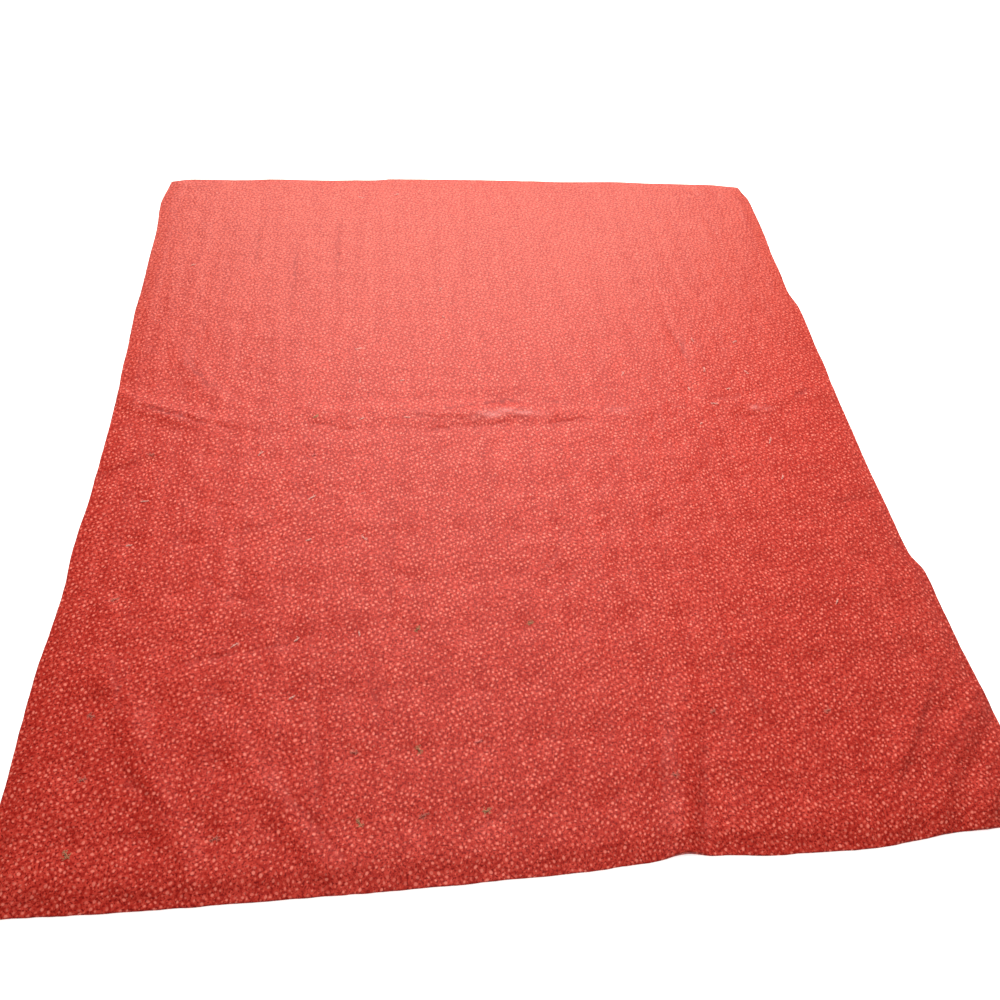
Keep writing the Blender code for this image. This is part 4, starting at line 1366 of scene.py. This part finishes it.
def tie_place(column, row, aside, ahead):
    """Where the knot of a tie lies in the row frame."""
    x, y = placed(np.array(column * SQUARE_ACROSS), np.array(MIDDLE_ROW_Y - row * SQUARE_ALONG))
    return float(x) + aside * MM, float(y) + ahead * MM


def shown_ties(thread):
    """Every doubled tie of one thread that shows, as one mesh."""
    radius_mm, parting_mm, fans = TIE_LOOKS[thread]
    radius = radius_mm * MM
    parts = []
    for number, tie in enumerate(TIES[thread]):
        chance = np.random.default_rng([len(thread), number])
        at_x, at_y = tie_place(*tie[:4])
        for heading, tail in (tie[4:6], tie[6:8]):
            route = thread_route(at_x, at_y, heading, tail, TAIL_LIFT, radius, STRAND_STEP, chance)
            lines = list(doubled(route, PAIR_GAP * radius, PAIR_TURNS, parting_mm * MM, chance))
            for fan in fans:
                turned = heading + fan * chance.uniform(*FAN_SPREAD)
                short = max(TAIL_FROM + LOOSE_LEAST, tail * chance.uniform(*LOOSE_LENGTHS))
                lines.append(loose_end(at_x, at_y, turned, short, radius, STRAND_STEP, chance))
            for line in lines:
                cut = smooth_step((np.linspace(0, 1, len(line)) - CUT_FROM) / CUT_LONG)
                radii = radius * (1 - CUT_THIN * cut)
                parts.append(strand(line, radii, STRAND_CORNERS, STRAND_PLIES, STRAND_PITCH))
    return join(parts)


def cloth_coloured_ties():
    """The ties that hardly show, in thread near the cloth's colour, at all other crossings."""
    taken = {(row[0], row[1]) for rows in TIES.values() for row in rows}
    parts = []
    chance = np.random.default_rng(PLAIN_SEED)
    for column in range(-TIE_COLUMNS, TIE_COLUMNS + 1):
        for row in range(-TIE_ROWS, TIE_ROWS + 1):
            if (column, row) in taken:
                continue
            scatter = chance.normal(0, PLAIN_ASIDE), chance.normal(0, PLAIN_AHEAD)
            at_x, at_y = tie_place(column, row, *scatter)
            heading = chance.uniform(0, 360)
            for turned in (0, 180 + chance.uniform(-PLAIN_OPENING, PLAIN_OPENING)):
                tail = chance.uniform(*PLAIN_TAIL)
                route = loose_end(at_x, at_y, heading + turned, tail, PLAIN_RADIUS, PLAIN_STEP, chance)
                radii = np.full(len(route), PLAIN_RADIUS)
                parts.append(strand(route, radii, PLAIN_CORNERS, 1, STRAND_PITCH))
    return join(parts)


def thread_finish(thread):
    """Matt cotton thread of one colour, a little soiled, with fuzz that catches the light."""
    finish, tree, shader = new_finish(thread + "_thread", THREAD_ROUGH, THREAD_GLOSS, THREAD_SHEEN)
    shader.inputs["Sheen Tint"].default_value = THREAD_SHEEN_TINT
    place = add_node(tree, "ShaderNodeTexCoord").outputs["Object"]
    fibre = place_group(
        tree, cotton_fibre, Place=place, Fibres_per_Metre=THREAD_FIBRES, Fibre_Height=THREAD_FIBRE_HIGH,
    )
    base = THREADS[thread]
    soiled = (base[0] * SOILED[0], base[1] * SOILED[1], base[2] * SOILED[2], 1.0)
    colour = mix_colours(tree, noise_mask(tree, place, *SOIL_NOISE), base, soiled)
    wire_finish(tree, shader, colour, fibre["Shade"], THREAD_ROUGH, fibre["Height"])
    return finish


ties = {}
for thread in THREADS:
    points, faces = shown_ties(thread) if thread in TIES else cloth_coloured_ties()
    ties[thread] = new_mesh_object(thread + "_ties", points, faces)
    ties[thread].data.materials.append(thread_finish(thread))
    print(thread, "ties:", sum(len(face) - 2 for face in faces), "triangles")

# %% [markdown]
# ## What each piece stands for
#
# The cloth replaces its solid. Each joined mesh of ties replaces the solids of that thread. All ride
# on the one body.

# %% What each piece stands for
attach(quilted_cotton, "root")
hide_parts("quilt_cloth")
for thread, obj in ties.items():
    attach(obj, "root")
    if thread in TIES:
        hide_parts(*[f"tie_{thread}_{count + 1:02d}" for count in range(len(TIES[thread]))])
print("pieces:", 1 + len(ties))

# %% [markdown]
# ## Floor and light
#
# The photograph was taken in a room with a broad window beyond the far edge. Its low light makes the far
# half glow and puts a pale gloss on it, while the near corners are darker and deeper red. One large area
# light stands for that window and one for its bright head. Weaker ones stand for the room's lamp, the
# wall behind the camera and the room's right side. All have the slightly warm tone of the photograph. A
# dim world fills the shadows, and looks white only to the camera. The floor is plain and white, and glows
# a little, because the photograph's own background is pure white.

# %% Floor and light
FLOOR_HALF = 30.0
FLOOR_DROP = 0.3 * MM
FLOOR_GLOW = 0.75
FLOOR_WHITE = (0.88, 0.88, 0.87, 1.0)
FLOOR_ROUGH = (0.9, 0.9)
FLOOR_GLOSS = 0.5
PURE_WHITE = (1.0, 1.0, 1.0, 1.0)
ROOM_LIGHT = 0.05
ROOM_SEEN = 0.95
DAYLIGHT = (1.0, 0.97, 0.90)

# Where each light hangs, where it aims, its width and height in metres, and its power in watts.
LIGHTS = {
    "window": ((0.1, 3.4, 2.1), (0.0, 0.1, 0.0), 4.4, 2.2, 152.0),
    "window_head": ((0.0, 1.9, 2.6), (0.0, 0.3, 0.0), 2.4, 1.2, 72.0),
    "lamp": ((0.0, -0.2, 1.9), (0.0, -0.2, 0.0), 1.2, 1.2, 15.0),
    "behind_camera": ((0.0, -1.7, 2.4), (0.0, -0.6, 0.0), 1.5, 1.2, 3.0),
    "right_side": ((3.0, 0.6, 1.8), (0.0, 0.1, 0.0), 2.0, 1.8, 16.0),
}


def pale_floor():
    """A wide plain floor just under the quilt."""
    turns = ((-1, -1), (1, -1), (1, 1), (-1, 1))
    corners = [(x * FLOOR_HALF, y * FLOOR_HALF, -FLOOR_DROP) for x, y in turns]
    floor = new_mesh_object("floor", corners, [[0, 1, 2, 3]])
    finish, _, shader = new_finish("pale_floor", FLOOR_ROUGH, FLOOR_GLOSS, 0.0)
    shader.inputs["Base Color"].default_value = FLOOR_WHITE
    shader.inputs["Emission Color"].default_value = PURE_WHITE
    shader.inputs["Emission Strength"].default_value = FLOOR_GLOW
    floor.data.materials.append(finish)
    return floor


def soft_light(name, at, aim, wide, tall, power):
    """A large soft area light."""
    light = bpy.data.lights.new(name, "AREA")
    light.shape = "RECTANGLE"
    light.size = wide
    light.size_y = tall
    light.energy = power
    light.color = DAYLIGHT
    obj = bpy.data.objects.new(name, light)
    obj.location = at
    obj.rotation_euler = (Vector(aim) - Vector(at)).to_track_quat("-Z", "Y").to_euler()
    bpy.context.scene.collection.objects.link(obj)
    return obj


def pale_room():
    """A world that lights the scene dimly and looks white to the camera."""
    world = bpy.data.worlds.new("room")
    world.use_nodes = True
    tree = world.node_tree
    seen = add_node(tree, "ShaderNodeLightPath").outputs["Is Camera Ray"]
    room = tree.nodes["Background"]
    room.inputs["Color"].default_value = PURE_WHITE
    feed(tree, ramp(tree, seen, 0.0, 1.0, ROOM_LIGHT, ROOM_SEEN), room.inputs["Strength"])
    return world


pale_floor()
for name, settings in LIGHTS.items():
    soft_light(name, *settings)
scene = bpy.context.scene
scene.world = pale_room()
scene.view_settings.view_transform = "Standard"
print("lights:", {name: settings[-1] for name, settings in LIGHTS.items()}, "watts")

# %% [markdown]
# ## Camera
#
# The camera was found by solving the photograph as a view of a flat rectangle: it stands 1.38 m over the
# floor near the quilt's near edge and looks down at 54 degrees, a little rolled. Its three directions are
# written as columns of a matrix, because three angles in a row would hide the roll.

# %% Camera
PHOTO_SIDE = 1000
FOCAL_PIXELS = 745
SENSOR = 36.0
CAMERA_AT = Vector((-0.199, -1.211, 1.378))
CAMERA_RIGHT = Vector((0.99315, -0.09442, 0.06885))
CAMERA_UP = Vector((0.03756, 0.81586, 0.57703))

lens = bpy.data.cameras.new("photo_camera")
lens.sensor_width = SENSOR
lens.lens = FOCAL_PIXELS / PHOTO_SIDE * SENSOR
camera = bpy.data.objects.new("photo_camera", lens)
turned = Matrix((CAMERA_RIGHT, CAMERA_UP, CAMERA_RIGHT.cross(CAMERA_UP))).transposed().to_4x4()
camera.matrix_world = Matrix.Translation(CAMERA_AT - Vector((middle_x, middle_y, 0))) @ turned
scene.collection.objects.link(camera)
scene.camera = camera
print("lens:", round(lens.lens, 2), "mm")
